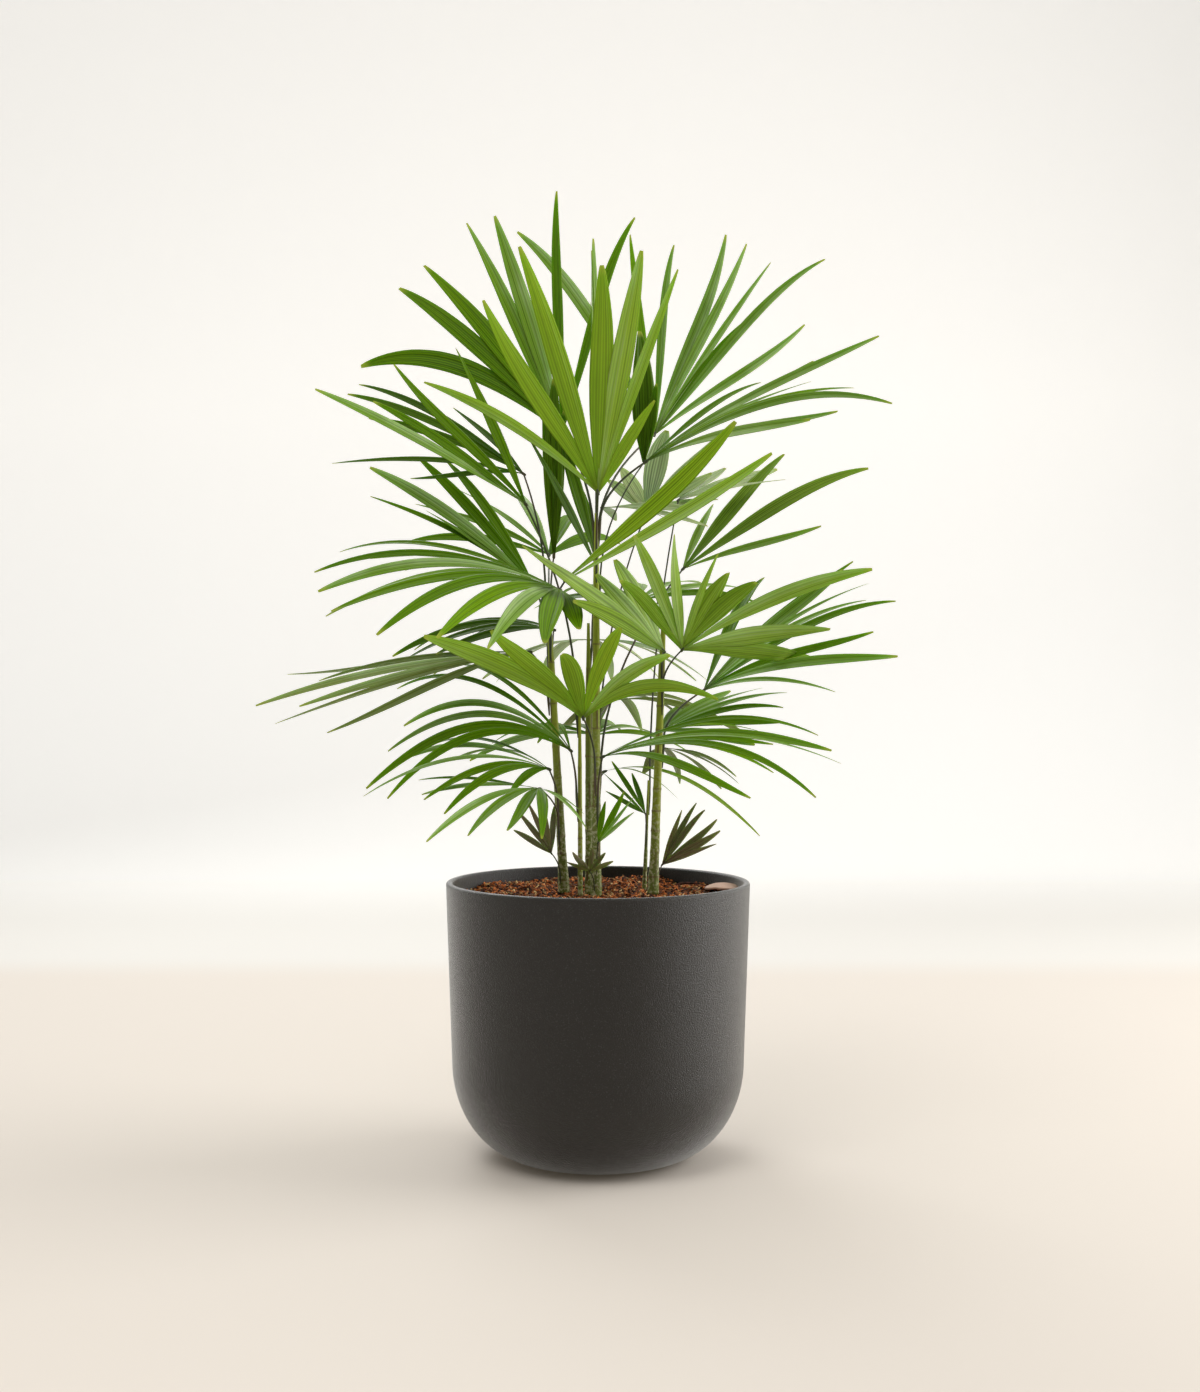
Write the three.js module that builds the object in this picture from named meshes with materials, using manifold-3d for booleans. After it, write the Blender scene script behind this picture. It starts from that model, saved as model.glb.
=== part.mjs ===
// Potted lady palm: a round-footed pot filled with coir mix, six canes and a crown of hand-shaped fronds.
// Millimetres, +Z up, +X to the right, -Y towards the front. The origin is the middle of the pot's
// flat underside.
import * as THREE from "three";
import { mergeVertices } from "three/addons/utils/BufferGeometryUtils.js";
import Module from "manifold-3d";

const wasm = await Module();
wasm.setup();

// ---- Driving dimensions ----------------------------------------------------------------------

const GAP = 0.3; // between neighbouring pieces
const WELD = 1e-4; // corners closer than this are one corner

const POT = {
  rimRadius: 175,
  height: 315,
  wall: 8,
  shoulderRadius: 168, // where the side turns into the round foot
  shoulderHeight: 110,
  footRadius: 80, // the flat that the pot stands on
  lip: 3, // rounding of the rim's two edges
  facets: 40,
  outerSteps: 6, // along the round of the foot
  innerSteps: 4,
};

const SOIL = { top: 302 };

const FLAKE = { x: 137, y: 30, length: 54, width: 38, thickness: 3, curl: 7, turn: 76 };
const FLAKE_OUTLINE = [ // shares of its length and width
  [-0.5, -0.28], [-0.2, -0.5], [0.3, -0.46], [0.5, -0.1], [0.42, 0.34], [0.05, 0.5], [-0.38, 0.38],
];

// Each cane: foot x and y, top x, y and z, radius at the foot, above its flare, below its tip and at
// the top, facets.
const CANES = {
  cane_left: { foot: [-39, -10], top: [-58, -10, 645], radius: [7, 5.2, 3.7, 1.8], facets: 8 },
  cane_centre: { foot: [-2, -49], top: [-2, -49, 735], radius: [6.6, 5.2, 3.5, 1.8], facets: 8 },
  cane_rear: { foot: [-10, -20], top: [-11, -20, 612], radius: [5.4, 4.4, 3.5, 1.6], facets: 8 },
  cane_right: { foot: [63, -20], top: [76, -20, 642], radius: [6.6, 5.2, 3.8, 1.8], facets: 8 },
  cane_young_left: { foot: [-20, -36], top: [-21, -36, 525], radius: [3, 2.7, 2.3, 1.4], facets: 6 },
  cane_young_right: { foot: [54, 20], top: [59, 20, 430], radius: [2.6, 2.2, 1.9, 1.2], facets: 6 },
};
const CANE_FLARE = 45; // height of the wider foot
const CANE_TIP = 80; // height of the narrowing end

// A frond leaves its cane at a height, carries its fan on a hub, and spreads its fingers about a
// middle direction: azimuth (0 right, 90 rear, -90 front) and elevation, with the fan rolled
// about it. Spread is the angle between the outer fingers, reach and width are a finger's size,
// and sag is how far a level finger's tip falls for each unit of its length.
const FROND_COLUMNS = [
  "name", "cane", "leaves", "hub", "azimuth", "elevation", "roll", "spread", "fingers", "reach",
  "width", "sag", "tone",
];
const FROND_ROWS = [
  ["frond_top_front", "cane_centre", 690, [0, -75, 755], -145, 74, 56, 76, 7, 280, 22, 0.12, "bright"],
  ["frond_top_right", "cane_centre", 725, [55, -35, 795], 2, 38, 20, 90, 8, 318, 18, 0.2, "mid"],
  ["frond_top_rear_right", "cane_centre", 710, [68, 80, 842], 58, 60, 24, 72, 8, 318, 18, 0.1, "mid"],
  ["frond_top_rear_left", "cane_centre", 700, [-42, 30, 838], 152, 61, -64, 96, 9, 320, 20, 0.2, "mid"],
  ["spear_left", "cane_left", 630, [-51, 0, 690], 90, 84, 0, 28, 3, 205, 18, 0, "dark"],
  ["spear_centre", "cane_rear", 590, [-1, -20, 676], 155, 68, 0, 50, 4, 185, 18, 0.02, "dark"],
  ["frond_left_broad", "cane_left", 600, [-43, -60, 648], -152, 20, -18, 150, 11, 280, 19, 0.32, "mid"],
  ["frond_across", "cane_left", 615, [-36, -72, 658], -12, 38, 30, 56, 4, 275, 24, 0.1, "bright"],
  ["frond_left_high", "cane_young_left", 515, [-82, -40, 746], -170, 47, -40, 60, 5, 272, 19, 0.08, "mid"],
  ["frond_left_top", "cane_left", 640, [-87, 25, 788], 172, 34, -30, 90, 7, 230, 15, 0.2, "dark"],
  ["frond_left_middle", "cane_left", 585, [-75, 18, 658], -178, 46, -38, 76, 7, 258, 18, 0.12, "mid"],
  ["frond_right_front", "cane_right", 540, [93, -90, 580], -62, 42, 0, 150, 9, 185, 20, 0.1, "bright"],
  ["frond_right_pale", "cane_right", 560, [73, -75, 579], -175, 42, -35, 50, 3, 195, 26, 0.02, "light"],
  ["frond_right_broad", "cane_right", 480, [123, 10, 535], 10, 45, 18, 108, 9, 262, 16, 0.22, "mid"],
  ["frond_front_low", "cane_centre", 450, [-16, -120, 505], -95, 46, 0, 128, 7, 222, 19, 0.3, "bright"],
  ["frond_left_low", "cane_young_left", 420, [-31, -42, 467], 178, 40, -24, 90, 8, 242, 14, 0.78, "mid"],
  ["frond_left_lower", "cane_left", 400, [-55, -65, 447], -165, 24, -18, 100, 8, 205, 13, 0.5, "mid"],
  ["frond_front_left", "cane_left", 385, [-64, -95, 427], -125, 6, -8, 165, 8, 150, 12, 0.3, "mid"],
  ["sprout_left", "cane_left", 325, [-53, -35, 350], 165, 62, -40, 70, 5, 68, 8, 0, "brown"],
  ["sprout_right", "cane_right", 315, [74, -5, 334], 0, 46, 50, 58, 6, 84, 8, 0, "brown"],
  ["sprout_centre", "cane_centre", 316, [-9, -70, 333], -90, 55, 0, 120, 5, 36, 6, 0, "brown"],
  ["frond_right_low", "cane_right", 440, [73, 25, 487], 12, 26, 14, 100, 7, 165, 13, 0.2, "mid"],
  ["frond_right_lower", "cane_centre", 415, [5, -75, 461], -12, 24, 12, 105, 9, 262, 15, 0.4, "mid"],
  ["frond_right_hanging", "cane_right", 425, [78, 40, 467], 50, -10, 0, 120, 5, 110, 15, 0.3, "olive"],
  ["sprig_right", "cane_young_right", 365, [55, 0, 392], 175, 50, -35, 66, 4, 72, 8, 0, "dark"],
  ["sprig_centre", "cane_centre", 340, [0, -70, 365], 10, 58, 30, 55, 4, 66, 7, 0, "mid"],
  ["frond_rear_high", "cane_centre", 455, [59, 90, 751], 70, 62, 0, 120, 6, 190, 20, 0.1, "pale"],
  ["frond_rear_pale", "cane_centre", 670, [5, 60, 752], 35, 5, 0, 90, 4, 140, 16, 0.1, "pale"],
  ["frond_right_high", "cane_centre", 440, [101, 55, 679], 22, 42, 22, 80, 7, 268, 17, 0.12, "light"],
  ["frond_left_long", "cane_left", 540, [-78, -20, 579], -175, -2, -18, 56, 6, 300, 16, 0.12, "olive"],
  ["frond_left_shade", "cane_left", 560, [-52, 35, 606], 175, 16, -10, 70, 5, 195, 16, 0.45, "dark"],
  ["frond_rear_middle", "cane_rear", 540, [-10, 70, 595], 85, 4, 0, 150, 7, 170, 18, 0.35, "pale"],
  ["frond_rear_low", "cane_rear", 465, [16, 70, 522], 40, 12, 0, 170, 8, 180, 15, 0.4, "olive"],
  ["frond_rear_right", "cane_young_right", 420, [96, 70, 762], 60, 25, 0, 90, 5, 170, 17, 0.1, "pale"],
  ["sprig_arched", "cane_rear", 400, [7, 20, 440], 5, 18, 0, 60, 3, 190, 8, 0.6, "light"],
  ["frond_top_middle", "cane_centre", 718, [-2, 4, 800], 92, 76, 86, 96, 6, 262, 17, 0.15, "mid"],
  ["frond_rear_left", "cane_left", 620, [-60, 110, 700], 120, 36, 0, 120, 6, 230, 18, 0.2, "mid"],
  ["frond_rear_centre", "cane_right", 600, [50, 120, 645], 80, 20, 0, 120, 6, 220, 18, 0.2, "mid"],
  ["frond_rear_foot", "cane_rear", 430, [-5, 110, 480], 100, 20, 0, 130, 6, 190, 16, 0.35, "mid"],
  ["spear_right", "cane_centre", 655, [53, -12, 797], 80, 84, 0, 24, 2, 155, 22, 0, "dark"],
];
// The fingers of the fronds that show most, each by its turn in the fan, in degrees, and its share of
// the reach and of the width, and how much more it sags. The other fronds spread theirs evenly.
const FINGERS = {
  frond_top_front: [
    [-32, 0.96, 0.65, 0.24], [-16, 0.92, 0.95, 0], [-4, 1.04, 1.05, 0], [14, 0.9, 1.25, 0],
    [23, 0.98, 1.2, 0], [32, 0.96, 0.7, 0], [43, 0.45, 0.6, 0],
  ],
  frond_top_right: [
    [-38, 0.7, 0.8, 0], [-35, 0.8, 0.8, 0.02], [-24, 1, 1, 0.14], [-18, 0.86, 0.9, 0.08],
    [-12, 0.7, 0.9, 0], [-5, 1.02, 0.7, 0], [3, 0.78, 0.7, 0], [14, 0.6, 0.7, 0],
  ],
  frond_top_rear_right: [
    [-31, 0.82, 0.6, 0], [-22, 1.14, 0.65, 0], [-17, 0.68, 0.5, 0], [-13, 1, 0.6, 0],
    [-6, 1.05, 0.6, 0], [-1, 1.07, 0.8, 0], [10, 0.98, 0.6, 0], [20, 1.05, 0.6, 0],
    [36, 1.57, 1.1, 0.28],
  ],
  frond_top_rear_left: [
    [-42, 0.95, 0.6, 0], [-24, 1.01, 0.65, 0], [-10, 0.98, 1.1, 0], [-4, 1.01, 1.1, 0],
    [8, 0.96, 1.1, 0], [15, 0.96, 1.1, 0], [20, 1.08, 1.3, 0.36],
  ],
  spear_left: [
    [-4, 0.85, 0.8, 0], [0, 1.03, 1.3, 0], [4, 0.9, 0.8, 0],
  ],
  spear_centre: [
    [-22, 0.6, 0.9, 0], [-12, 0.97, 1.25, 0], [20, 1, 1.25, 0],
  ],
  frond_left_broad: [
    [-66, 1.05, 0.8, 0], [-53, 1.05, 0.8, 0], [-42, 0.97, 0.8, 0], [-31, 1, 0.9, 0],
    [-20, 1.07, 0.8, 0.08], [-9, 1.05, 1, 0.12], [5, 1.07, 0.9, 0.14], [14, 1.12, 0.9, 0.06],
    [27, 1.08, 0.9, 0.05], [38, 0.95, 1, 0], [48, 0.82, 1.1, 0], [62, 0.55, 1.2, 0],
    [84, 0.3, 1.4, 0],
  ],
  frond_across: [
    [-27, 1.05, 1, -0.15], [-3, 0.87, 1.15, -0.24],
  ],
  frond_left_high: [
    [-35, 0.88, 1, 0], [-2, 0.82, 1.1, 0], [20, 0.8, 0.9, 0], [28, 1.06, 0.8, 0],
  ],
  frond_left_top: [
    [-28, 0.72, 0.9, 0], [-6, 1.12, 1, 0], [1, 1.1, 1, 0], [9, 0.9, 1, 0], [37, 1.02, 0.7, 0],
    [45, 0.63, 0.6, 0],
  ],
  frond_left_middle: [
    [-22, 0.85, 1, 0.12], [-8, 0.84, 1.1, 0], [5, 1, 1.15, 0.1], [12, 0.62, 0.6, 0],
    [17, 0.95, 0.6, 0.14],
  ],
  frond_right_front: [
    [-46, 0.97, 0.8, 0], [-36, 1.3, 0.8, 0], [-26, 1.17, 0.9, 0], [-10, 0.9, 0.55, 0],
    [-1, 0.72, 1.25, 0], [14, 0.74, 1.3, 0.08], [36, 1.35, 1, 0.14], [70, 0.96, 1.1, 0],
    [84, 0.92, 1, 0.03],
  ],
  frond_right_pale: [
    [-38, 0.7, 1.1, 0], [-14, 0.6, 1, 0], [6, 1.02, 1.3, 0], [24, 0.64, 1.2, 0],
  ],
  frond_right_broad: [
    [-50, 0.71, 0.7, 0.09], [-41, 1, 0.8, 0.05], [-33, 0.89, 0.8, 0.05], [-24, 1.02, 0.9, 0],
    [-10, 0.95, 0.8, 0.1], [-2, 1.05, 0.8, 0.12], [4, 0.96, 1, 0], [9, 1.12, 0.7, 0.08],
    [37, 1, 1.1, 0],
  ],
  frond_front_low: [
    [-36, 1.14, 1, 0], [-23, 0.94, 0.9, 0], [-6, 0.6, 1.1, 0], [15, 0.88, 1, 0],
    [33, 0.82, 0.95, 0], [42, 1, 0.9, 0.22],
  ],
  frond_left_low: [
    [-44, 0.9, 0.8, 0], [-28, 1.3, 0.8, -0.15], [-16, 1.3, 0.8, -0.1], [-7, 1.1, 0.9, 0],
    [2, 1.1, 1, 0.04], [12, 1.15, 1, 0.08], [22, 1, 0.8, 0],
  ],
  frond_left_lower: [
    [-55, 0.95, 0.8, 0], [-40, 1.03, 0.8, 0], [-20, 0.95, 0.9, 0], [9, 1.12, 0.9, 0],
    [18, 0.8, 0.9, 0], [30, 0.75, 0.9, 0], [40, 0.35, 0.8, 0],
  ],
  frond_front_left: [
    [-48, 0.9, 0.7, -0.2], [-32, 0.9, 0.8, -0.1], [2, 1.34, 0.9, 0.02], [12, 1.15, 1, 0],
    [23, 0.92, 1, 0], [38, 0.95, 1.1, 0], [68, 0.65, 0.8, 0], [92, 0.4, 0.8, 0],
  ],
  frond_right_lower: [
    [-36, 0.88, 0.8, -0.02], [-28, 1.12, 0.8, 0], [-19, 0.85, 0.9, 0], [-11, 1.12, 0.9, 0],
    [-2, 1.06, 0.9, 0], [8, 0.8, 0.8, 0], [16, 1.04, 0.9, 0], [30, 0.9, 0.7, 0],
  ],
  frond_right_high: [
    [-36, 0.66, 0.6, 0], [-20, 0.97, 1.2, -0.03], [7, 0.78, 1.3, -0.12], [26, 0.5, 0.8, 0],
  ],
  frond_left_long: [
    [-12, 0.95, 0.8, 0], [-3, 0.8, 0.7, 0], [8, 1.03, 0.9, 0], [13, 0.88, 0.8, 0.01],
    [17, 0.98, 0.8, 0.03], [24, 0.82, 0.9, 0.09],
  ],
  frond_rear_high: [
    [-75, 0.47, 0.7, 0], [-50, 0.5, 0.6, 0], [-32, 0.7, 0.9, 0], [-3, 0.66, 1.4, 0],
    [32, 0.44, 1, 0], [47, 0.42, 0.9, 0],
  ],
  spear_right: [
    [-8, 0.6, 0.7, 0], [3, 1, 1.1, 0],
  ],
  sprig_arched: [
    [-12, 1, 0.8, 0.12], [30, 0.6, 0.8, 0],
  ],
};

const FRONDS = FROND_ROWS.map((row) => {
  const frond = Object.fromEntries(row.map((value, at) => [FROND_COLUMNS[at], value]));
  return { ...frond, fingers: FINGERS[frond.name]?.length ?? frond.fingers };
});

const OUTER_SHORTER = 0.2; // how much shorter than the middle finger the outermost are
const UNEVEN_LENGTH = 0.06;
const UNEVEN_SPACING = 0.18; // of the angle between two fingers
const BLADE_STATIONS = [[0.01, 0.16], [0.25, 0.7], [0.52, 1], [0.8, 0.72]]; // shares of its length, width
const BLADE_THICKNESS = 0.011; // of its length
const BLADE_THINNEST = 0.8;
const BLADE_CLEARANCE = 0.5; // round a blade when it is tried against its neighbours
const KNOB_RADIUS = 4.5; // where the fingers meet, on a frond that reaches far enough
const KNOB_FULL_REACH = 200;
const KNOB_LEAST = 0.35; // share of that radius on the smallest frond
const PETIOLE_RADIUS = 0.9; // and thicker with the frond's reach
const PETIOLE_PER_REACH = 0.004;
const PETIOLE_TAPER = 0.75;
const PETIOLE_STEPS = 4;
const PETIOLE_SIDES = 3;

// A finger that would touch a neighbour is tried again turned in its fan or sagging otherwise.
const NUDGES = [
  { turn: 0, sag: 0 },
  { turn: 4, sag: 0 },
  { turn: -4, sag: 0 },
  { turn: 0, sag: 0.06 },
  { turn: 0, sag: -0.06 },
  { turn: 7, sag: 0.04 },
  { turn: -7, sag: 0.04 },
  { turn: 3, sag: 0.12 },
  { turn: -3, sag: -0.12 },
  { turn: 11, sag: 0 },
  { turn: -11, sag: 0 },
];

const FINISHES = {
  pot: { color: 0x35332f, roughness: 0.62, metalness: 0 },
  soil: { color: 0x6d3a24, roughness: 0.95, metalness: 0 },
  flake: { color: 0xb07f66, roughness: 0.7, metalness: 0 },
  cane: { color: 0x76883f, roughness: 0.5, metalness: 0 },
  bright: { color: 0x5d9420, roughness: 0.45, metalness: 0 },
  mid: { color: 0x4a7f24, roughness: 0.45, metalness: 0 },
  light: { color: 0x79ad4c, roughness: 0.5, metalness: 0 },
  dark: { color: 0x2f5a20, roughness: 0.45, metalness: 0 },
  olive: { color: 0x6d7a4c, roughness: 0.5, metalness: 0 },
  pale: { color: 0x9aa68c, roughness: 0.55, metalness: 0 },
  brown: { color: 0x4d4233, roughness: 0.55, metalness: 0 },
};

const UP = new THREE.Vector3(0, 0, 1);
const radians = THREE.MathUtils.degToRad;

// ---- Solids ----------------------------------------------------------------------------------

function solidOf(geometry) {
  geometry.deleteAttribute("normal");
  geometry.deleteAttribute("uv");
  const merged = mergeVertices(geometry, WELD);
  return new wasm.Manifold(new wasm.Mesh({
    numProp: 3,
    vertProperties: new Float32Array(merged.attributes.position.array),
    triVerts: new Uint32Array(merged.index.array),
  }));
}

function geometryOf(solid) {
  const mesh = solid.getMesh();
  const geometry = new THREE.BufferGeometry();
  geometry.setAttribute("position", new THREE.BufferAttribute(new Float32Array(mesh.vertProperties), 3));
  geometry.setIndex(new THREE.BufferAttribute(new Uint32Array(mesh.triVerts), 1));
  return geometry.toNonIndexed();
}

// A closed skin over rings of points that turn anticlockwise about the way they follow each other.
// A last ring of one point closes in a tip.
function skin(rings) {
  const points = rings.flat();
  const starts = rings.map((ring, at) => rings.slice(0, at).reduce((sum, before) => sum + before.length, 0));
  const faces = [];
  const sides = rings[0].length;
  for (let corner = 1; corner < sides - 1; corner += 1) {
    faces.push(0, corner + 1, corner);
  }
  for (let at = 1; at < rings.length; at += 1) {
    const [low, high] = [starts[at - 1], starts[at]];
    for (let corner = 0; corner < sides; corner += 1) {
      const next = (corner + 1) % sides;
      if (rings[at].length === 1) {
        faces.push(low + corner, low + next, high);
      } else {
        faces.push(low + corner, low + next, high + next, low + corner, high + next, high + corner);
      }
    }
  }
  const last = starts[rings.length - 1];
  for (let corner = 1; corner < rings.at(-1).length - 1; corner += 1) {
    faces.push(last, last + corner, last + corner + 1);
  }
  const geometry = new THREE.BufferGeometry();
  geometry.setAttribute("position", new THREE.Float32BufferAttribute(points.flatMap((p) => p.toArray()), 3));
  geometry.setIndex(faces);
  return geometry;
}

// The solids fused into one, with the pockets that fusing seals filled and loose scraps dropped.
function joined(solids) {
  const whole = solids.reduce((sum, piece) => sum.add(piece));
  return whole.decompose().reduce((best, shell) => (shell.volume() > best.volume() ? shell : best));
}

function boxed(solid, owner) {
  return { solid, owner, box: solid.boundingBox() };
}

function touches(one, other) {
  const [a, b] = [one.box, other.box];
  for (let axis = 0; axis < 3; axis += 1) {
    if (a.min[axis] > b.max[axis] || b.min[axis] > a.max[axis]) {
      return false;
    }
  }
  return !one.solid.intersect(other.solid).isEmpty();
}

// ---- Pot and soil ----------------------------------------------------------------------------

// The pot's outline from the foot up, moved inwards by an inset, as radius and height.
function footCurve(inset, steps) {
  const across = POT.shoulderRadius - POT.footRadius;
  return Array.from({ length: steps + 1 }, (_, step) => {
    const angle = (Math.PI / 2) * (1 - step / steps);
    return new THREE.Vector2(
      POT.footRadius + (across - inset) * Math.cos(angle),
      inset + (POT.shoulderHeight - inset) * (1 - Math.sin(angle)),
    );
  });
}

function turned(profile) {
  const geometry = new THREE.LatheGeometry(profile, POT.facets);
  geometry.rotateX(Math.PI / 2);
  return geometryOf(solidOf(geometry));
}

function potShape() {
  const { rimRadius, height, wall, lip } = POT;
  const inside = rimRadius - wall;
  return turned([
    new THREE.Vector2(0, 0),
    ...footCurve(0, POT.outerSteps),
    new THREE.Vector2(rimRadius, height - lip),
    new THREE.Vector2(rimRadius - lip, height),
    new THREE.Vector2(inside + lip, height),
    new THREE.Vector2(inside, height - lip),
    ...footCurve(wall, POT.innerSteps).reverse(),
    new THREE.Vector2(0, wall),
  ]);
}

// The radius of the pot's inner wall at a height above the shoulder.
function innerRadius(z) {
  const low = POT.shoulderRadius - POT.wall;
  const high = POT.rimRadius - POT.wall;
  return low + ((high - low) * (z - POT.shoulderHeight)) / (POT.height - POT.lip - POT.shoulderHeight);
}

function soilShape() {
  return turned([
    new THREE.Vector2(0, POT.wall + GAP),
    ...footCurve(POT.wall + GAP, POT.innerSteps),
    new THREE.Vector2(innerRadius(SOIL.top) - GAP, SOIL.top),
    new THREE.Vector2(0, SOIL.top),
  ]);
}

// A dry, slightly curled flake lying on the soil.
function flakeShape() {
  const corners = FLAKE_OUTLINE.map(([along, across]) => {
    const lift = FLAKE.curl * (2 * across) ** 2;
    return new THREE.Vector3(along * FLAKE.length, across * FLAKE.width, lift);
  });
  const geometry = skin([corners, corners.map((p) => p.clone().addScaledVector(UP, FLAKE.thickness))]);
  geometry.rotateZ(radians(FLAKE.turn));
  geometry.translate(FLAKE.x, FLAKE.y, SOIL.top + GAP);
  return geometry.toNonIndexed();
}

// ---- Canes -----------------------------------------------------------------------------------

// Where the cane's four radii are.
function caneHeights(cane) {
  return [SOIL.top, SOIL.top + CANE_FLARE, cane.top[2] - CANE_TIP, cane.top[2]];
}

function caneAt(cane, z) {
  const share = (z - SOIL.top) / (cane.top[2] - SOIL.top);
  const heights = caneHeights(cane);
  const at = heights.findIndex((height, step) => step > 0 && z <= height);
  const [low, high] = [heights[at - 1], heights[at]];
  return {
    centre: new THREE.Vector3(
      THREE.MathUtils.lerp(cane.foot[0], cane.top[0], share),
      THREE.MathUtils.lerp(cane.foot[1], cane.top[1], share),
      z,
    ),
    radius: THREE.MathUtils.mapLinear(z, low, high, cane.radius[at - 1], cane.radius[at]),
  };
}

function caneShape(cane) {
  return skin([SOIL.top + GAP, ...caneHeights(cane).slice(1)].map((z) => {
    const { centre, radius } = caneAt(cane, z);
    return Array.from({ length: cane.facets }, (_, at) => {
      const angle = (2 * Math.PI * at) / cane.facets;
      return new THREE.Vector3(radius * Math.cos(angle), radius * Math.sin(angle), 0).add(centre);
    });
  }));
}

// ---- Fronds ----------------------------------------------------------------------------------

// A repeatable number from -1 to 1 for a frond, a finger and a purpose.
function chance(frond, finger, purpose) {
  return ((frond * 7919 + finger * 104729 + purpose * 15485) % 1009) / 504 - 1;
}

function fanAxes(frond) {
  const azimuth = radians(frond.azimuth);
  const elevation = radians(frond.elevation);
  const flat = new THREE.Vector3(Math.cos(azimuth), Math.sin(azimuth), 0);
  const middle = flat.clone().multiplyScalar(Math.cos(elevation)).addScaledVector(UP, Math.sin(elevation));
  const face = flat.multiplyScalar(-Math.sin(elevation)).addScaledVector(UP, Math.cos(elevation));
  face.applyAxisAngle(middle, radians(frond.roll));
  return { middle, face, side: face.clone().cross(middle) };
}

function petioleRadius(frond) {
  return PETIOLE_RADIUS + PETIOLE_PER_REACH * frond.reach;
}

// The petiole rises along its cane and bends away to the hub.
function petioleShape(frond) {
  const { centre, radius } = caneAt(CANES[frond.cane], frond.leaves);
  const hub = new THREE.Vector3(...frond.hub);
  const away = hub.clone().sub(centre).setZ(0).normalize();
  const thick = petioleRadius(frond);
  const foot = centre.clone().addScaledVector(away, radius + GAP + thick);
  const bend = foot.clone().addScaledVector(UP, (hub.z - foot.z) / 2);
  const path = new THREE.QuadraticBezierCurve3(foot, bend, hub);
  const side = away.clone().cross(UP);
  const rings = Array.from({ length: PETIOLE_STEPS + 1 }, (_, step) => {
    const share = step / PETIOLE_STEPS;
    const across = side.clone().cross(path.getTangent(share));
    const size = thick * THREE.MathUtils.lerp(1, PETIOLE_TAPER, share);
    return Array.from({ length: PETIOLE_SIDES }, (__, corner) => {
      const angle = (2 * Math.PI * corner) / PETIOLE_SIDES;
      return path.getPoint(share)
        .addScaledVector(across, size * Math.cos(angle))
        .addScaledVector(side, size * Math.sin(angle));
    });
  });
  return skin(rings);
}

function knobShape(frond) {
  const share = THREE.MathUtils.lerp(KNOB_LEAST, 1, Math.min(1, frond.reach / KNOB_FULL_REACH));
  const geometry = new THREE.OctahedronGeometry(KNOB_RADIUS * share);
  geometry.translate(...frond.hub);
  return geometry;
}

// A finger's turn in its fan, in degrees, its share of the frond's reach and width, and how much
// more it sags than the frond says.
function fingerLine(frond, order, finger) {
  if (FINGERS[frond.name]) {
    const [turn, length, width, sag] = FINGERS[frond.name][finger];
    return { turn, length, width, sag };
  }
  const place = (2 * finger) / (frond.fingers - 1) - 1;
  const spacing = frond.spread / (frond.fingers - 1);
  const uneven = UNEVEN_SPACING * spacing * chance(order, finger, 1);
  const shorter = 1 - OUTER_SHORTER * place ** 2;
  return {
    turn: (place * frond.spread) / 2 + uneven,
    length: shorter * (1 + UNEVEN_LENGTH * chance(order, finger, 2)),
    width: 1,
    sag: 0,
  };
}

// One finger as a slim blade with a ridge on its face: a narrow root in the knob, widest at its
// middle, a point.
function bladeShape(frond, axes, order, finger, nudge, clearance) {
  const line = fingerLine(frond, order, finger);
  const turn = radians(line.turn + nudge.turn);
  const length = frond.reach * line.length;
  const along = axes.middle.clone().multiplyScalar(Math.cos(turn)).addScaledVector(axes.side, Math.sin(turn));
  const sag = (frond.sag + line.sag + nudge.sag) * Math.hypot(along.x, along.y);
  const hub = new THREE.Vector3(...frond.hub);
  const pointAt = (share) => hub.clone()
    .addScaledVector(along, length * share)
    .addScaledVector(UP, -length * sag * share ** 2);
  const thickness = Math.max(BLADE_THINNEST, BLADE_THICKNESS * length);
  const rings = BLADE_STATIONS.map(([share, wide]) => {
    const tangent = along.clone().addScaledVector(UP, -2 * sag * share).normalize();
    const across = axes.face.clone().cross(tangent).normalize();
    const upward = tangent.clone().cross(across);
    const halfWidth = (frond.width * line.width * wide) / 2 + clearance;
    return [
      pointAt(share).addScaledVector(across, halfWidth).addScaledVector(upward, -clearance),
      pointAt(share).addScaledVector(upward, thickness + clearance),
      pointAt(share).addScaledVector(across, -halfWidth).addScaledVector(upward, -clearance),
    ];
  });
  rings.push([pointAt(1)]);
  return solidOf(skin(rings));
}

// ---- The palm --------------------------------------------------------------------------------

const palm = new THREE.Group();

function place(name, geometry, finish) {
  const mesh = new THREE.Mesh(geometry, new THREE.MeshStandardMaterial(FINISHES[finish]));
  mesh.name = name;
  palm.add(mesh);
}

place("pot", potShape(), "pot");
place("soil", soilShape(), "soil");
place("bark_flake", flakeShape(), "flake");

const standing = [];
for (const [name, cane] of Object.entries(CANES)) {
  const geometry = caneShape(cane);
  place(name, geometry.toNonIndexed(), "cane");
  standing.push(boxed(solidOf(geometry), name));
}

const carriers = FRONDS.map((frond) => joined([solidOf(petioleShape(frond)), solidOf(knobShape(frond))]));
carriers.forEach((solid, order) => standing.push(boxed(solid, FRONDS[order].name)));

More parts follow.
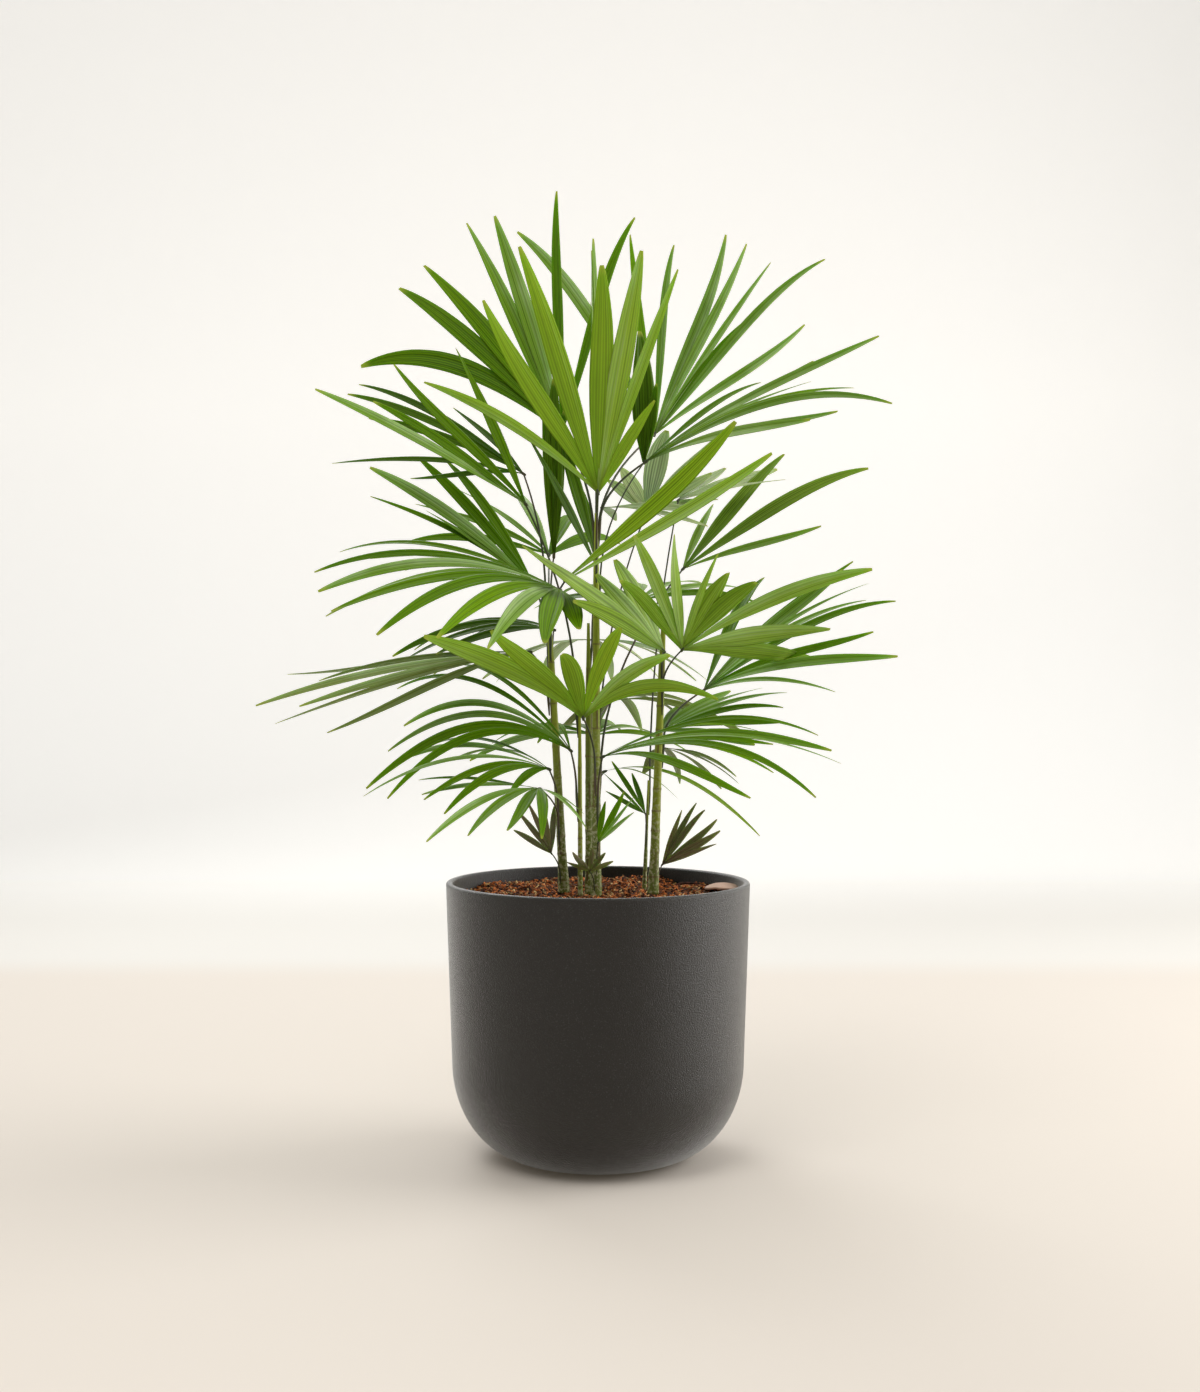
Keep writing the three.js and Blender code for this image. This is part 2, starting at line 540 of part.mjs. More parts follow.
// A finger that finds no clear place is left out.
FRONDS.forEach((frond, order) => {
  const axes = fanAxes(frond);
  const pieces = [carriers[order]];
  for (let finger = 0; finger < frond.fingers; finger += 1) {
    const clear = NUDGES.find((nudge) => {
      const tried = boxed(bladeShape(frond, axes, order, finger, nudge, BLADE_CLEARANCE), frond.name);
      return !standing.some((other) => other.owner !== frond.name && touches(tried, other));
    });
    if (clear) {
      const blade = bladeShape(frond, axes, order, finger, clear, 0);
      pieces.push(blade);
      standing.push(boxed(blade, frond.name));
    }
  }
  place(frond.name, geometryOf(joined(pieces)), frond.tone);
});

export default palm;
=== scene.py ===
"""A potted lady palm: ribbed leaf fingers, mottled canes, coir mix and a charcoal pot."""

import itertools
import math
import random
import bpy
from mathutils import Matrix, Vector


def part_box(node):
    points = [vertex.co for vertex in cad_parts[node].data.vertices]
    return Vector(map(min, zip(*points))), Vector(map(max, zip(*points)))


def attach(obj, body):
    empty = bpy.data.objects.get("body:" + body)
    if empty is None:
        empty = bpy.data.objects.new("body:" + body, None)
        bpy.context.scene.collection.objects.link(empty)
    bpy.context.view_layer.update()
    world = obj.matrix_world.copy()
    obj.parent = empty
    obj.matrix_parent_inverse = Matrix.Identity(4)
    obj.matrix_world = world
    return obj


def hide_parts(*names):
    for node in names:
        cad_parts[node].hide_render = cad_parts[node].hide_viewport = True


bl_info = {
    "name": "Potted Lady Palm",
    "version": (1, 0, 0),
    "blender": (4, 5, 0),
    "location": "3D View > Sidebar > Lady Palm",
    "description": "Builds a lady palm with ribbed leaf fingers and mottled canes in a charcoal pot",
    "category": "Add Mesh",
}

import bpy
import numpy as np
from bpy.props import FloatProperty, FloatVectorProperty, IntProperty, PointerProperty
from mathutils import Vector, noise

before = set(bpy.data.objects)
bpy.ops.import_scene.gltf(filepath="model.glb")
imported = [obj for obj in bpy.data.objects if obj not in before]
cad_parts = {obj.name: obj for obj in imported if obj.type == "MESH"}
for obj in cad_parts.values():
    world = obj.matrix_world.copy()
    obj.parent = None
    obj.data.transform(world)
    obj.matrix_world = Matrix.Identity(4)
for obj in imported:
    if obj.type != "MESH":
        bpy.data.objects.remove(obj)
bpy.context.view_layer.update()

MM = 0.001
GAP = 0.3 * MM
UP = np.array([0.0, 0.0, 1.0])

# ---- The palm's own rule, in millimetres ------------------------------------------------------

# Each cane: foot x and y, top x, y and z, radius at the foot, above its flare, below its tip and at
# the top.
CANES = {
    "cane_left": {"foot": (-39, -10), "top": (-58, -10, 645), "radius": (7, 5.2, 3.7, 1.8)},
    "cane_centre": {"foot": (-2, -49), "top": (-2, -49, 735), "radius": (6.6, 5.2, 3.5, 1.8)},
    "cane_rear": {"foot": (-10, -20), "top": (-11, -20, 612), "radius": (5.4, 4.4, 3.5, 1.6)},
    "cane_right": {"foot": (63, -20), "top": (76, -20, 642), "radius": (6.6, 5.2, 3.8, 1.8)},
    "cane_young_left": {"foot": (-20, -36), "top": (-21, -36, 525), "radius": (3, 2.7, 2.3, 1.4)},
    "cane_young_right": {"foot": (54, 20), "top": (59, 20, 430), "radius": (2.6, 2.2, 1.9, 1.2)},
}
CANE_FLARE = 45
CANE_TIP = 80

# A frond leaves its cane at a height and carries its fan of fingers on a hub. Azimuth, elevation
# and roll turn the fan, reach and width are a finger's size, and sag is how far a level finger's
# tip falls for each unit of its length.
FROND_COLUMNS = (
    "name", "cane", "leaves", "hub", "azimuth", "elevation", "roll", "reach", "width", "sag", "tone",
)
FROND_ROWS = (
    ("frond_top_front", "cane_centre", 690, (0, -75, 755), -145, 74, 56, 280, 22, 0.12, "bright"),
    ("frond_top_right", "cane_centre", 725, (55, -35, 795), 2, 38, 20, 318, 18, 0.2, "mid"),
    ("frond_top_rear_right", "cane_centre", 710, (68, 80, 842), 58, 60, 24, 318, 18, 0.1, "mid"),
    ("frond_top_rear_left", "cane_centre", 700, (-42, 30, 838), 152, 61, -64, 320, 20, 0.2, "mid"),
    ("spear_left", "cane_left", 630, (-51, 0, 690), 90, 84, 0, 205, 18, 0, "dark"),
    ("spear_centre", "cane_rear", 590, (-1, -20, 676), 155, 68, 0, 185, 18, 0.02, "dark"),
    ("frond_left_broad", "cane_left", 600, (-43, -60, 648), -152, 20, -18, 280, 19, 0.32, "mid"),
    ("frond_across", "cane_left", 615, (-36, -72, 658), -12, 38, 30, 275, 24, 0.1, "bright"),
    ("frond_left_high", "cane_young_left", 515, (-82, -40, 746), -170, 47, -40, 272, 19, 0.08, "mid"),
    ("frond_left_top", "cane_left", 640, (-87, 25, 788), 172, 34, -30, 230, 15, 0.2, "dark"),
    ("frond_left_middle", "cane_left", 585, (-75, 18, 658), -178, 46, -38, 258, 18, 0.12, "mid"),
    ("frond_right_front", "cane_right", 540, (93, -90, 580), -62, 42, 0, 185, 20, 0.1, "bright"),
    ("frond_right_pale", "cane_right", 560, (73, -75, 579), -175, 42, -35, 195, 26, 0.02, "light"),
    ("frond_right_broad", "cane_right", 480, (123, 10, 535), 10, 45, 18, 262, 16, 0.22, "mid"),
    ("frond_front_low", "cane_centre", 450, (-16, -120, 505), -95, 46, 0, 222, 19, 0.3, "bright"),
    ("frond_left_low", "cane_young_left", 420, (-31, -42, 467), 178, 40, -24, 242, 14, 0.78, "mid"),
    ("frond_left_lower", "cane_left", 400, (-55, -65, 447), -165, 24, -18, 205, 13, 0.5, "mid"),
    ("frond_front_left", "cane_left", 385, (-64, -95, 427), -125, 6, -8, 150, 12, 0.3, "mid"),
    ("sprout_left", "cane_left", 325, (-53, -35, 350), 165, 62, -40, 68, 8, 0, "brown"),
    ("sprout_right", "cane_right", 315, (74, -5, 334), 0, 46, 50, 84, 8, 0, "brown"),
    ("sprout_centre", "cane_centre", 316, (-9, -70, 333), -90, 55, 0, 36, 6, 0, "brown"),
    ("frond_right_low", "cane_right", 440, (73, 25, 487), 12, 26, 14, 165, 13, 0.2, "mid"),
    ("frond_right_lower", "cane_centre", 415, (5, -75, 461), -12, 24, 12, 262, 15, 0.4, "mid"),
    ("frond_right_hanging", "cane_right", 425, (78, 40, 467), 50, -10, 0, 110, 15, 0.3, "olive"),
    ("sprig_right", "cane_young_right", 365, (55, 0, 392), 175, 50, -35, 72, 8, 0, "dark"),
    ("sprig_centre", "cane_centre", 340, (0, -70, 365), 10, 58, 30, 66, 7, 0, "mid"),
    ("frond_rear_high", "cane_centre", 455, (59, 90, 751), 70, 62, 0, 190, 20, 0.1, "pale"),
    ("frond_rear_pale", "cane_centre", 670, (5, 60, 752), 35, 5, 0, 140, 16, 0.1, "pale"),
    ("frond_right_high", "cane_centre", 440, (101, 55, 679), 22, 42, 22, 268, 17, 0.12, "light"),
    ("frond_left_long", "cane_left", 540, (-78, -20, 579), -175, -2, -18, 300, 16, 0.12, "olive"),
    ("frond_left_shade", "cane_left", 560, (-52, 35, 606), 175, 16, -10, 195, 16, 0.45, "dark"),
    ("frond_rear_middle", "cane_rear", 540, (-10, 70, 595), 85, 4, 0, 170, 18, 0.35, "pale"),
    ("frond_rear_low", "cane_rear", 465, (16, 70, 522), 40, 12, 0, 180, 15, 0.4, "olive"),
    ("frond_rear_right", "cane_young_right", 420, (96, 70, 762), 60, 25, 0, 170, 17, 0.1, "pale"),
    ("sprig_arched", "cane_rear", 400, (7, 20, 440), 5, 18, 0, 190, 8, 0.6, "light"),
    ("frond_top_middle", "cane_centre", 718, (-2, 4, 800), 92, 76, 86, 262, 17, 0.15, "mid"),
    ("frond_rear_left", "cane_left", 620, (-60, 110, 700), 120, 36, 0, 230, 18, 0.2, "mid"),
    ("frond_rear_centre", "cane_right", 600, (50, 120, 645), 80, 20, 0, 220, 18, 0.2, "mid"),
    ("frond_rear_foot", "cane_rear", 430, (-5, 110, 480), 100, 20, 0, 190, 16, 0.35, "mid"),
    ("spear_right", "cane_centre", 655, (53, -12, 797), 80, 84, 0, 155, 22, 0, "dark"),
)
FRONDS = [dict(zip(FROND_COLUMNS, row)) for row in FROND_ROWS]
# The fans that finger_shares spreads: the degrees between their outer fingers, and how many
# fingers they have.
SPREAD_FANS = {
    "sprout_left": (70, 5), "sprout_right": (58, 6), "sprout_centre": (120, 5),
    "frond_right_low": (100, 7), "frond_right_hanging": (120, 5), "sprig_right": (66, 4),
    "sprig_centre": (55, 4), "frond_rear_pale": (90, 4), "frond_left_shade": (70, 5),
    "frond_rear_middle": (150, 7), "frond_rear_low": (170, 8), "frond_rear_right": (90, 5),
    "frond_top_middle": (96, 6), "frond_rear_left": (120, 6), "frond_rear_centre": (120, 6),
    "frond_rear_foot": (130, 6),
}
# The fans that show most, by each finger's turn in degrees, its shares of the frond's reach and
# width and, unless that is 0, how much more it sags.
SET_FANS = {
    "frond_top_front": (
        (-32, 0.96, 0.65, 0.24), (-16, 0.92, 0.95), (-4, 1.04, 1.05), (14, 0.9, 1.25), (23, 0.98, 1.2),
        (32, 0.96, 0.7), (43, 0.45, 0.6),
    ),
    "frond_top_right": (
        (-38, 0.7, 0.8), (-35, 0.8, 0.8, 0.02), (-24, 1, 1, 0.14), (-18, 0.86, 0.9, 0.08),
        (-12, 0.7, 0.9), (-5, 1.02, 0.7), (3, 0.78, 0.7), (14, 0.6, 0.7),
    ),
    "frond_top_rear_right": (
        (-31, 0.82, 0.6), (-22, 1.14, 0.65), (-17, 0.68, 0.5), (-13, 1, 0.6), (-6, 1.05, 0.6),
        (-1, 1.07, 0.8), (10, 0.98, 0.6), (20, 1.05, 0.6), (36, 1.57, 1.1, 0.28),
    ),
    "frond_top_rear_left": (
        (-42, 0.95, 0.6), (-24, 1.01, 0.65), (-10, 0.98, 1.1), (-4, 1.01, 1.1), (8, 0.96, 1.1),
        (15, 0.96, 1.1), (20, 1.08, 1.3, 0.36),
    ),
    "spear_left": ((-4, 0.85, 0.8), (0, 1.03, 1.3), (4, 0.9, 0.8)),
    "spear_centre": ((-22, 0.6, 0.9), (-12, 0.97, 1.25), (20, 1, 1.25)),
    "frond_left_broad": (
        (-66, 1.05, 0.8), (-53, 1.05, 0.8), (-42, 0.97, 0.8), (-31, 1, 0.9), (-20, 1.07, 0.8, 0.08),
        (-9, 1.05, 1, 0.12), (5, 1.07, 0.9, 0.14), (14, 1.12, 0.9, 0.06), (27, 1.08, 0.9, 0.05),
        (38, 0.95, 1), (48, 0.82, 1.1), (62, 0.55, 1.2), (84, 0.3, 1.4),
    ),
    "frond_across": ((-27, 1.05, 1, -0.15), (-3, 0.87, 1.15, -0.24)),
    "frond_left_high": ((-35, 0.88, 1), (-2, 0.82, 1.1), (20, 0.8, 0.9), (28, 1.06, 0.8)),
    "frond_left_top": (
        (-28, 0.72, 0.9), (-6, 1.12, 1), (1, 1.1, 1), (9, 0.9, 1), (37, 1.02, 0.7), (45, 0.63, 0.6),
    ),
    "frond_left_middle": (
        (-22, 0.85, 1, 0.12), (-8, 0.84, 1.1), (5, 1, 1.15, 0.1), (12, 0.62, 0.6),
        (17, 0.95, 0.6, 0.14),
    ),
    "frond_right_front": (
        (-46, 0.97, 0.8), (-36, 1.3, 0.8), (-26, 1.17, 0.9), (-10, 0.9, 0.55), (-1, 0.72, 1.25),
        (14, 0.74, 1.3, 0.08), (36, 1.35, 1, 0.14), (70, 0.96, 1.1), (84, 0.92, 1, 0.03),
    ),
    "frond_right_pale": ((-38, 0.7, 1.1), (-14, 0.6, 1), (6, 1.02, 1.3), (24, 0.64, 1.2)),
    "frond_right_broad": (
        (-50, 0.71, 0.7, 0.09), (-41, 1, 0.8, 0.05), (-33, 0.89, 0.8, 0.05), (-24, 1.02, 0.9),
        (-10, 0.95, 0.8, 0.1), (-2, 1.05, 0.8, 0.12), (4, 0.96, 1), (9, 1.12, 0.7, 0.08), (37, 1, 1.1),
    ),
    "frond_front_low": (
        (-36, 1.14, 1), (-23, 0.94, 0.9), (-6, 0.6, 1.1), (15, 0.88, 1), (33, 0.82, 0.95),
        (42, 1, 0.9, 0.22),
    ),
    "frond_left_low": (
        (-44, 0.9, 0.8), (-28, 1.3, 0.8, -0.15), (-16, 1.3, 0.8, -0.1), (-7, 1.1, 0.9),
        (2, 1.1, 1, 0.04), (12, 1.15, 1, 0.08), (22, 1, 0.8),
    ),
    "frond_left_lower": (
        (-55, 0.95, 0.8), (-40, 1.03, 0.8), (-20, 0.95, 0.9), (9, 1.12, 0.9), (18, 0.8, 0.9),
        (30, 0.75, 0.9), (40, 0.35, 0.8),
    ),
    "frond_front_left": (
        (-48, 0.9, 0.7, -0.2), (-32, 0.9, 0.8, -0.1), (2, 1.34, 0.9, 0.02), (12, 1.15, 1),
        (23, 0.92, 1), (38, 0.95, 1.1), (68, 0.65, 0.8), (92, 0.4, 0.8),
    ),
    "frond_right_lower": (
        (-36, 0.88, 0.8, -0.02), (-28, 1.12, 0.8), (-19, 0.85, 0.9), (-11, 1.12, 0.9), (-2, 1.06, 0.9),
        (8, 0.8, 0.8), (16, 1.04, 0.9), (30, 0.9, 0.7),
    ),
    "frond_right_high": (
        (-36, 0.66, 0.6), (-20, 0.97, 1.2, -0.03), (7, 0.78, 1.3, -0.12), (26, 0.5, 0.8),
    ),
    "frond_left_long": (
        (-12, 0.95, 0.8), (-3, 0.8, 0.7), (8, 1.03, 0.9), (13, 0.88, 0.8, 0.01), (17, 0.98, 0.8, 0.03),
        (24, 0.82, 0.9, 0.09),
    ),
    "frond_rear_high": (
        (-75, 0.47, 0.7), (-50, 0.5, 0.6), (-32, 0.7, 0.9), (-3, 0.66, 1.4), (32, 0.44, 1),
        (47, 0.42, 0.9),
    ),
    "spear_right": ((-8, 0.6, 0.7), (3, 1, 1.1)),
    "sprig_arched": ((-12, 1, 0.8, 0.12), (30, 0.6, 0.8)),
}

OUTER_SHORTER = 0.2  # how much shorter a spread fan's outer fingers are
UNEVEN_LENGTH = 0.06
UNEVEN_SPACING = 0.18
PETIOLE_RADIUS = 0.9
PETIOLE_PER_REACH = 0.004
PETIOLE_TAPER = 0.75
# How a finger may be turned in its fan, in degrees, and sagged to clear its neighbours.
NUDGES = (
    (0, 0), (4, 0), (-4, 0), (0, 0.06), (0, -0.06), (7, 0.04), (-7, 0.04), (3, 0.12), (-3, -0.12),
    (11, 0), (-11, 0),
)
SAME_TIP = 0.4  # a finger whose tip is this close to the frame's is that finger

# What a draw from chance() is for.
SPACING, LENGTH, TWISTING, BENDING, TINTING, BREADTH, ARCHING, PAINTED_GLEAMS = range(1, 9)
CHANCE_FACTORS = (7919, 104729, 15485)
CHANCE_VALUES = 1009


def chance(*numbers):
    """A repeatable number from -1 to 1 for the numbers of a frond, a finger and a purpose."""
    drawn = sum(number * factor for number, factor in zip(numbers, CHANCE_FACTORS)) % CHANCE_VALUES
    return 2 * drawn / (CHANCE_VALUES - 1) - 1


def wander(*place):
    """Smooth noise, from about -1 to 1, at a place."""
    return noise.noise(Vector(place))


def unit(vector):
    """The vector at a length of one; works on one vector or a row of them."""
    return vector / np.linalg.norm(vector, axis=-1, keepdims=True)


def rotated(vector, axis, angle):
    """The vector turned about a unit axis; works on one vector or a row of them."""
    cosine = np.cos(angle)
    across = np.cross(axis, vector)
    along = axis * np.sum(axis * vector, axis=-1, keepdims=True)
    return vector * cosine + across * np.sin(angle) + along * (1 - cosine)


def fan_axes(frond):
    """The fan's middle direction, the direction its face looks, and the direction to its side."""
    azimuth = math.radians(frond["azimuth"])
    elevation = math.radians(frond["elevation"])
    flat = np.array([math.cos(azimuth), math.sin(azimuth), 0.0])
    middle = flat * math.cos(elevation) + UP * math.sin(elevation)
    face = -flat * math.sin(elevation) + UP * math.cos(elevation)
    face = rotated(face, middle, math.radians(frond["roll"]))
    return middle, face, np.cross(face, middle)


def finger_shares(frond, order, finger):
    """A finger's turn in degrees, its shares of the frond's reach and width, and how much more it sags."""
    if frond["name"] in SET_FANS:
        return (*SET_FANS[frond["name"]][finger], 0)[:4]
    spread, count = SPREAD_FANS[frond["name"]]
    place = 2 * finger / (count - 1) - 1
    spacing = spread / (count - 1)
    turn = place * spread / 2 + UNEVEN_SPACING * spacing * chance(order, finger, SPACING)
    shorter = 1 - OUTER_SHORTER * place**2
    return turn, shorter * (1 + UNEVEN_LENGTH * chance(order, finger, LENGTH)), 1, 0


def finger_line(frond, order, finger, nudge):
    """The direction, length and sag of one finger."""
    middle, _, side = fan_axes(frond)
    turn, share, _, more_sag = finger_shares(frond, order, finger)
    turn = math.radians(turn + nudge[0])
    along = middle * math.cos(turn) + side * math.sin(turn)
    sag = (frond["sag"] + more_sag + nudge[1]) * math.hypot(along[0], along[1])
    return along, frond["reach"] * share, sag


def frame_points(node):
    """A node's corners, in millimetres."""
    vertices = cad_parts[node].data.vertices
    points = np.empty(len(vertices) * 3)
    vertices.foreach_get("co", points)
    return points.reshape(-1, 3) / MM


def fingers_of(order, frond):
    """Each finger that the frame's frond has: its number, and its line as it was nudged there."""
    name = frond["name"]
    points = frame_points(name)
    hub = np.array(frond["hub"], float)
    for finger in range(len(SET_FANS[name]) if name in SET_FANS else SPREAD_FANS[name][1]):
        for nudge in NUDGES:
            along, length, sag = finger_line(frond, order, finger, nudge)
            tip = hub + along * length - UP * length * sag
            if np.min(np.linalg.norm(points - tip, axis=1)) < SAME_TIP:
                yield finger, along, length, sag
                break


def cane_at(cane, height):
    """The centre and radius of a cane at a height."""
    soil_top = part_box("soil")[1].z / MM
    share = (height - soil_top) / (cane["top"][2] - soil_top)
    leaning = [foot + (top - foot) * share for foot, top in zip(cane["foot"], cane["top"])]
    centre = np.array([*leaning, height])
    heights = (soil_top, soil_top + CANE_FLARE, cane["top"][2] - CANE_TIP, cane["top"][2])
    return centre, float(np.interp(height, heights, cane["radius"]))


# ---- Settings ---------------------------------------------------------------------------------


def colour_property(name, description, default):
    return FloatVectorProperty(
        name=name, description=description, subtype="COLOR", size=3, min=0, max=1, default=default
    )


def length_property(name, description, default):
    return FloatProperty(
        name=name, description=description, subtype="DISTANCE", unit="LENGTH", default=default
    )


def number_property(name, description, default, unit="NONE"):
    return FloatProperty(name=name, description=description, unit=unit, default=default)


def count_property(name, description, default, least):
    return IntProperty(name=name, description=description, default=default, min=least)


class LADYPALM_PG_pot(bpy.types.PropertyGroup):
    """The pot's sizes and finish."""

    rim_radius: length_property("Rim radius", "Outer radius of the rim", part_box("pot")[1].x)
    height: length_property("Height", "From the floor to the rim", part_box("pot")[1].z)
    wall: length_property("Wall", "Thickness of the wall", 8 * MM)
    shoulder_radius: length_property("Shoulder radius", "Where the side turns into the foot", 168 * MM)
    shoulder_height: length_property("Shoulder height", "Height where the foot begins", 110 * MM)
    foot_radius: length_property("Foot radius", "The flat that the pot stands on", 80 * MM)
    lip: length_property("Lip", "Rounding of the rim's edges", 3 * MM)
    colour: colour_property("Colour", "Charcoal of the pot", (0.0090, 0.0070, 0.0045))
    fleck: colour_property("Fleck", "Lighter grains in the surface", (0.050, 0.050, 0.050))


class LADYPALM_PG_soil(bpy.types.PropertyGroup):
    """The coir mix and what lies on it."""

    unevenness: length_property("Unevenness", "Height of the surface's humps", 13 * MM)
    chip_length: length_property("Chip length", "Length of a coir chip", 6.8 * MM)
    chip_density: number_property("Chip density", "Chips of one colour to a square metre", 21000)
    # The dark and light chips stand for painted shade and painted highlights on the lumps of the mix.
    dark: colour_property("Dark chips", "Colour of the damp chips", (0.050, 0.016, 0.009))
    red: colour_property("Red chips", "Colour of most chips", (0.480, 0.145, 0.040))
    light: colour_property("Light chips", "Colour of the dry chips", (0.74, 0.36, 0.16))
    flake: colour_property("Flake", "Colour of the bark flake", (0.64, 0.41, 0.31))


class LADYPALM_PG_canes(bpy.types.PropertyGroup):
    """The canes and petioles."""

    sides: count_property("Sides", "Facets round a cane", 28, 6)
    ring_step: length_property("Ring step", "Distance between two leaf scars", 27 * MM)
    green: colour_property("Green", "Colour of the upper cane", (0.33, 0.39, 0.035))
    deep: colour_property("Deep green", "Colour of the lower cane", (0.150, 0.195, 0.040))
    lichen: colour_property("Lichen", "Pale mottling near the foot", (0.54, 0.53, 0.33))
    fibre: colour_property("Fibre", "Brown edge of an old sheath", (0.10, 0.055, 0.028))
    petiole: colour_property("Petiole", "Colour of the petioles", (0.038, 0.046, 0.014))


class LADYPALM_PG_leaves(bpy.types.PropertyGroup):
    """The fingers' shape and colours."""

    stations: count_property("Stations", "Points along a finger", 24, 6)
    ribs: count_property("Ribs", "Pleats across a finger", 3, 1)
    rib_depth: number_property("Rib depth", "Of half the finger's width", 0.10)
    fold: number_property("Fold", "Rise of the edges, of half the width", 0.22)
    thickness: number_property("Half thickness", "Of half the finger's width", 0.035)
    # Bright and light are painted light: lit and backlit copies of the leaf green. Dark is the spears' own
    # deep green, and painted shade on the shaded fans.
    bright: colour_property("Bright", "Front fans in full light", (0.196, 0.342, 0.010))
    mid: colour_property("Mid", "Most of the crown", (0.104, 0.226, 0.002))
    light: colour_property("Light", "Undersides that the light comes through", (0.200, 0.330, 0.030))
    dark: colour_property("Dark", "Spears and shaded fans", (0.050, 0.115, 0.003))
    olive: colour_property("Olive", "Old hanging fans", (0.150, 0.205, 0.045))
    pale: colour_property("Pale", "Grey undersides at the back", (0.38, 0.49, 0.25))
    brown: colour_property("Brown", "Young leaves near the soil", (0.180, 0.140, 0.082))
    tip: colour_property("Tip", "Dry yellow tips", (0.36, 0.38, 0.05))
    # Gleam is a painted highlight: the window's light painted into the leaves' colour.
    gleam: colour_property("Gleam", "Where the window shines on a leaf", (0.52, 0.66, 0.33))


class LADYPALM_PG_stage(bpy.types.PropertyGroup):
    """The floor, the backdrop and the light."""

    floor: colour_property("Floor", "Colour of the floor", (0.735, 0.680, 0.620))
    floor_glow: colour_property("Floor glow", "Colour of the floor's own light", (0.08, 0.065, 0.045))
    wall: colour_property("Backdrop", "Colour of the backdrop", (0.915, 0.905, 0.880))
    glow: number_property("Glow", "Strength of the glow of floor and backdrop", 0.42)
    sky: colour_property("Sky", "Colour of the light all round", (1.0, 0.985, 0.955))
    front_sky: number_property("Front sky", "Light from the front", 0.26)
    back_sky: number_property("Back sky", "Light from behind", 0.88)
    key_power: number_property("Key power", "Window at the right", 92, "POWER")
    fill_power: number_property("Fill power", "From above the front", 34, "POWER")
    back_power: number_property("Back power", "From behind", 30, "POWER")


# ---- Node expressions -------------------------------------------------------------------------


def maths(operation, reflected=False):
    """A method that adds a Math node for a link and what stands beside it."""

    def method(link, *others):
        values = (*others, link) if reflected else (link, *others)
        return link.maker.node("ShaderNodeMath", {"operation": operation}, dict(enumerate(values)))

    return method


class Link:
    """A node's output that can stand in an expression."""

    def __init__(self, maker, socket):
        self.maker = maker
        self.socket = socket

    __add__ = __radd__ = maths("ADD")
    __sub__ = maths("SUBTRACT")
    __rsub__ = maths("SUBTRACT", reflected=True)
    __mul__ = __rmul__ = maths("MULTIPLY")
    __truediv__ = maths("DIVIDE")
    __gt__ = maths("GREATER_THAN")
    __abs__ = maths("ABSOLUTE")
    fraction = maths("FRACT")
    sine = maths("SINE")
    root = maths("SQRT")


class Maker:
    """Adds nodes to a tree, for materials and for shapes."""

    def __init__(self, tree):
        self.tree = tree

    def feed(self, socket, value):
        if isinstance(value, Link):
            self.tree.links.new(value.socket, socket)
        elif socket.type == "RGBA":
            socket.default_value = (*value[:3], 1)
        else:
            socket.default_value = value

    def node(self, kind, settings=None, sockets=None, output=0):
        """One node: its settings first, then the values or links of its sockets."""
        made = self.tree.nodes.new(kind)
        for name, value in (settings or {}).items():
            setattr(made, name, value)
        for key, value in (sockets or {}).items():
            self.feed(made.inputs[key], value)
        return Link(self, made.outputs[output])


NOISE_ROUGHNESS = 0.55


def scaled(colour, *shares):
    """A colour made darker or lighter, each channel by its own share if three are given."""
    shares = shares if len(shares) == 3 else shares * 3
    return [min(1.0, channel * share) for channel, share in zip(colour, shares)]


class Finish(Maker):
    """A material that ends in one Principled BSDF."""

    def __init__(self, name, **constants):
        self.material = bpy.data.materials.new(name)
        self.material.use_nodes = True
        super().__init__(self.material.node_tree)
        self.surface = self.tree.nodes["Principled BSDF"]
        for socket, value in constants.items():
            self.surface.inputs[socket.replace("_", " ")].default_value = value

    def place(self):
        return self.node("ShaderNodeTexCoord", output="Object")

    def attribute(self, name):
        return self.node("ShaderNodeAttribute", {"attribute_name": name}, output="Fac")

    def stretched(self, scale):
        return self.node("ShaderNodeMapping", sockets={"Vector": self.place(), "Scale": scale})

    def noise(self, scale, detail=3, where=None):
        return self.node("ShaderNodeTexNoise", sockets={
            "Vector": where or self.place(), "Scale": scale, "Detail": detail,
            "Roughness": NOISE_ROUGHNESS,
        })

    def step(self, value, low, high):
        """0 below low, 1 above high and smooth between them."""
        return self.node(
            "ShaderNodeMapRange",
            {"interpolation_type": "SMOOTHSTEP"},
            {"Value": value, "From Min": low, "From Max": high},
        )

    def mix(self, factor, first, second):
        settings = {"data_type": "RGBA", "clamp_factor": True}
        return self.node("ShaderNodeMix", settings, {0: factor, 6: first, 7: second}, output=2)

    def layered(self, body, layers):
        """Colours laid over the body in turn, each by its mask and its strength."""
        for mask, strength, colour in layers:
            body = self.mix(mask * strength, body, colour)
        return body

    def end(self, colour, roughness, height=None, relief=0.0):
        """Feeds the surface; relief is the height's real size."""
        self.feed(self.surface.inputs["Base Color"], colour)
        self.feed(self.surface.inputs["Roughness"], roughness)
        if height is not None:
            sockets = {"Height": height, "Distance": relief, "Strength": 1.0}
            bump = self.node("ShaderNodeBump", sockets=sockets)
            self.feed(self.surface.inputs["Normal"], bump)
        return self.material


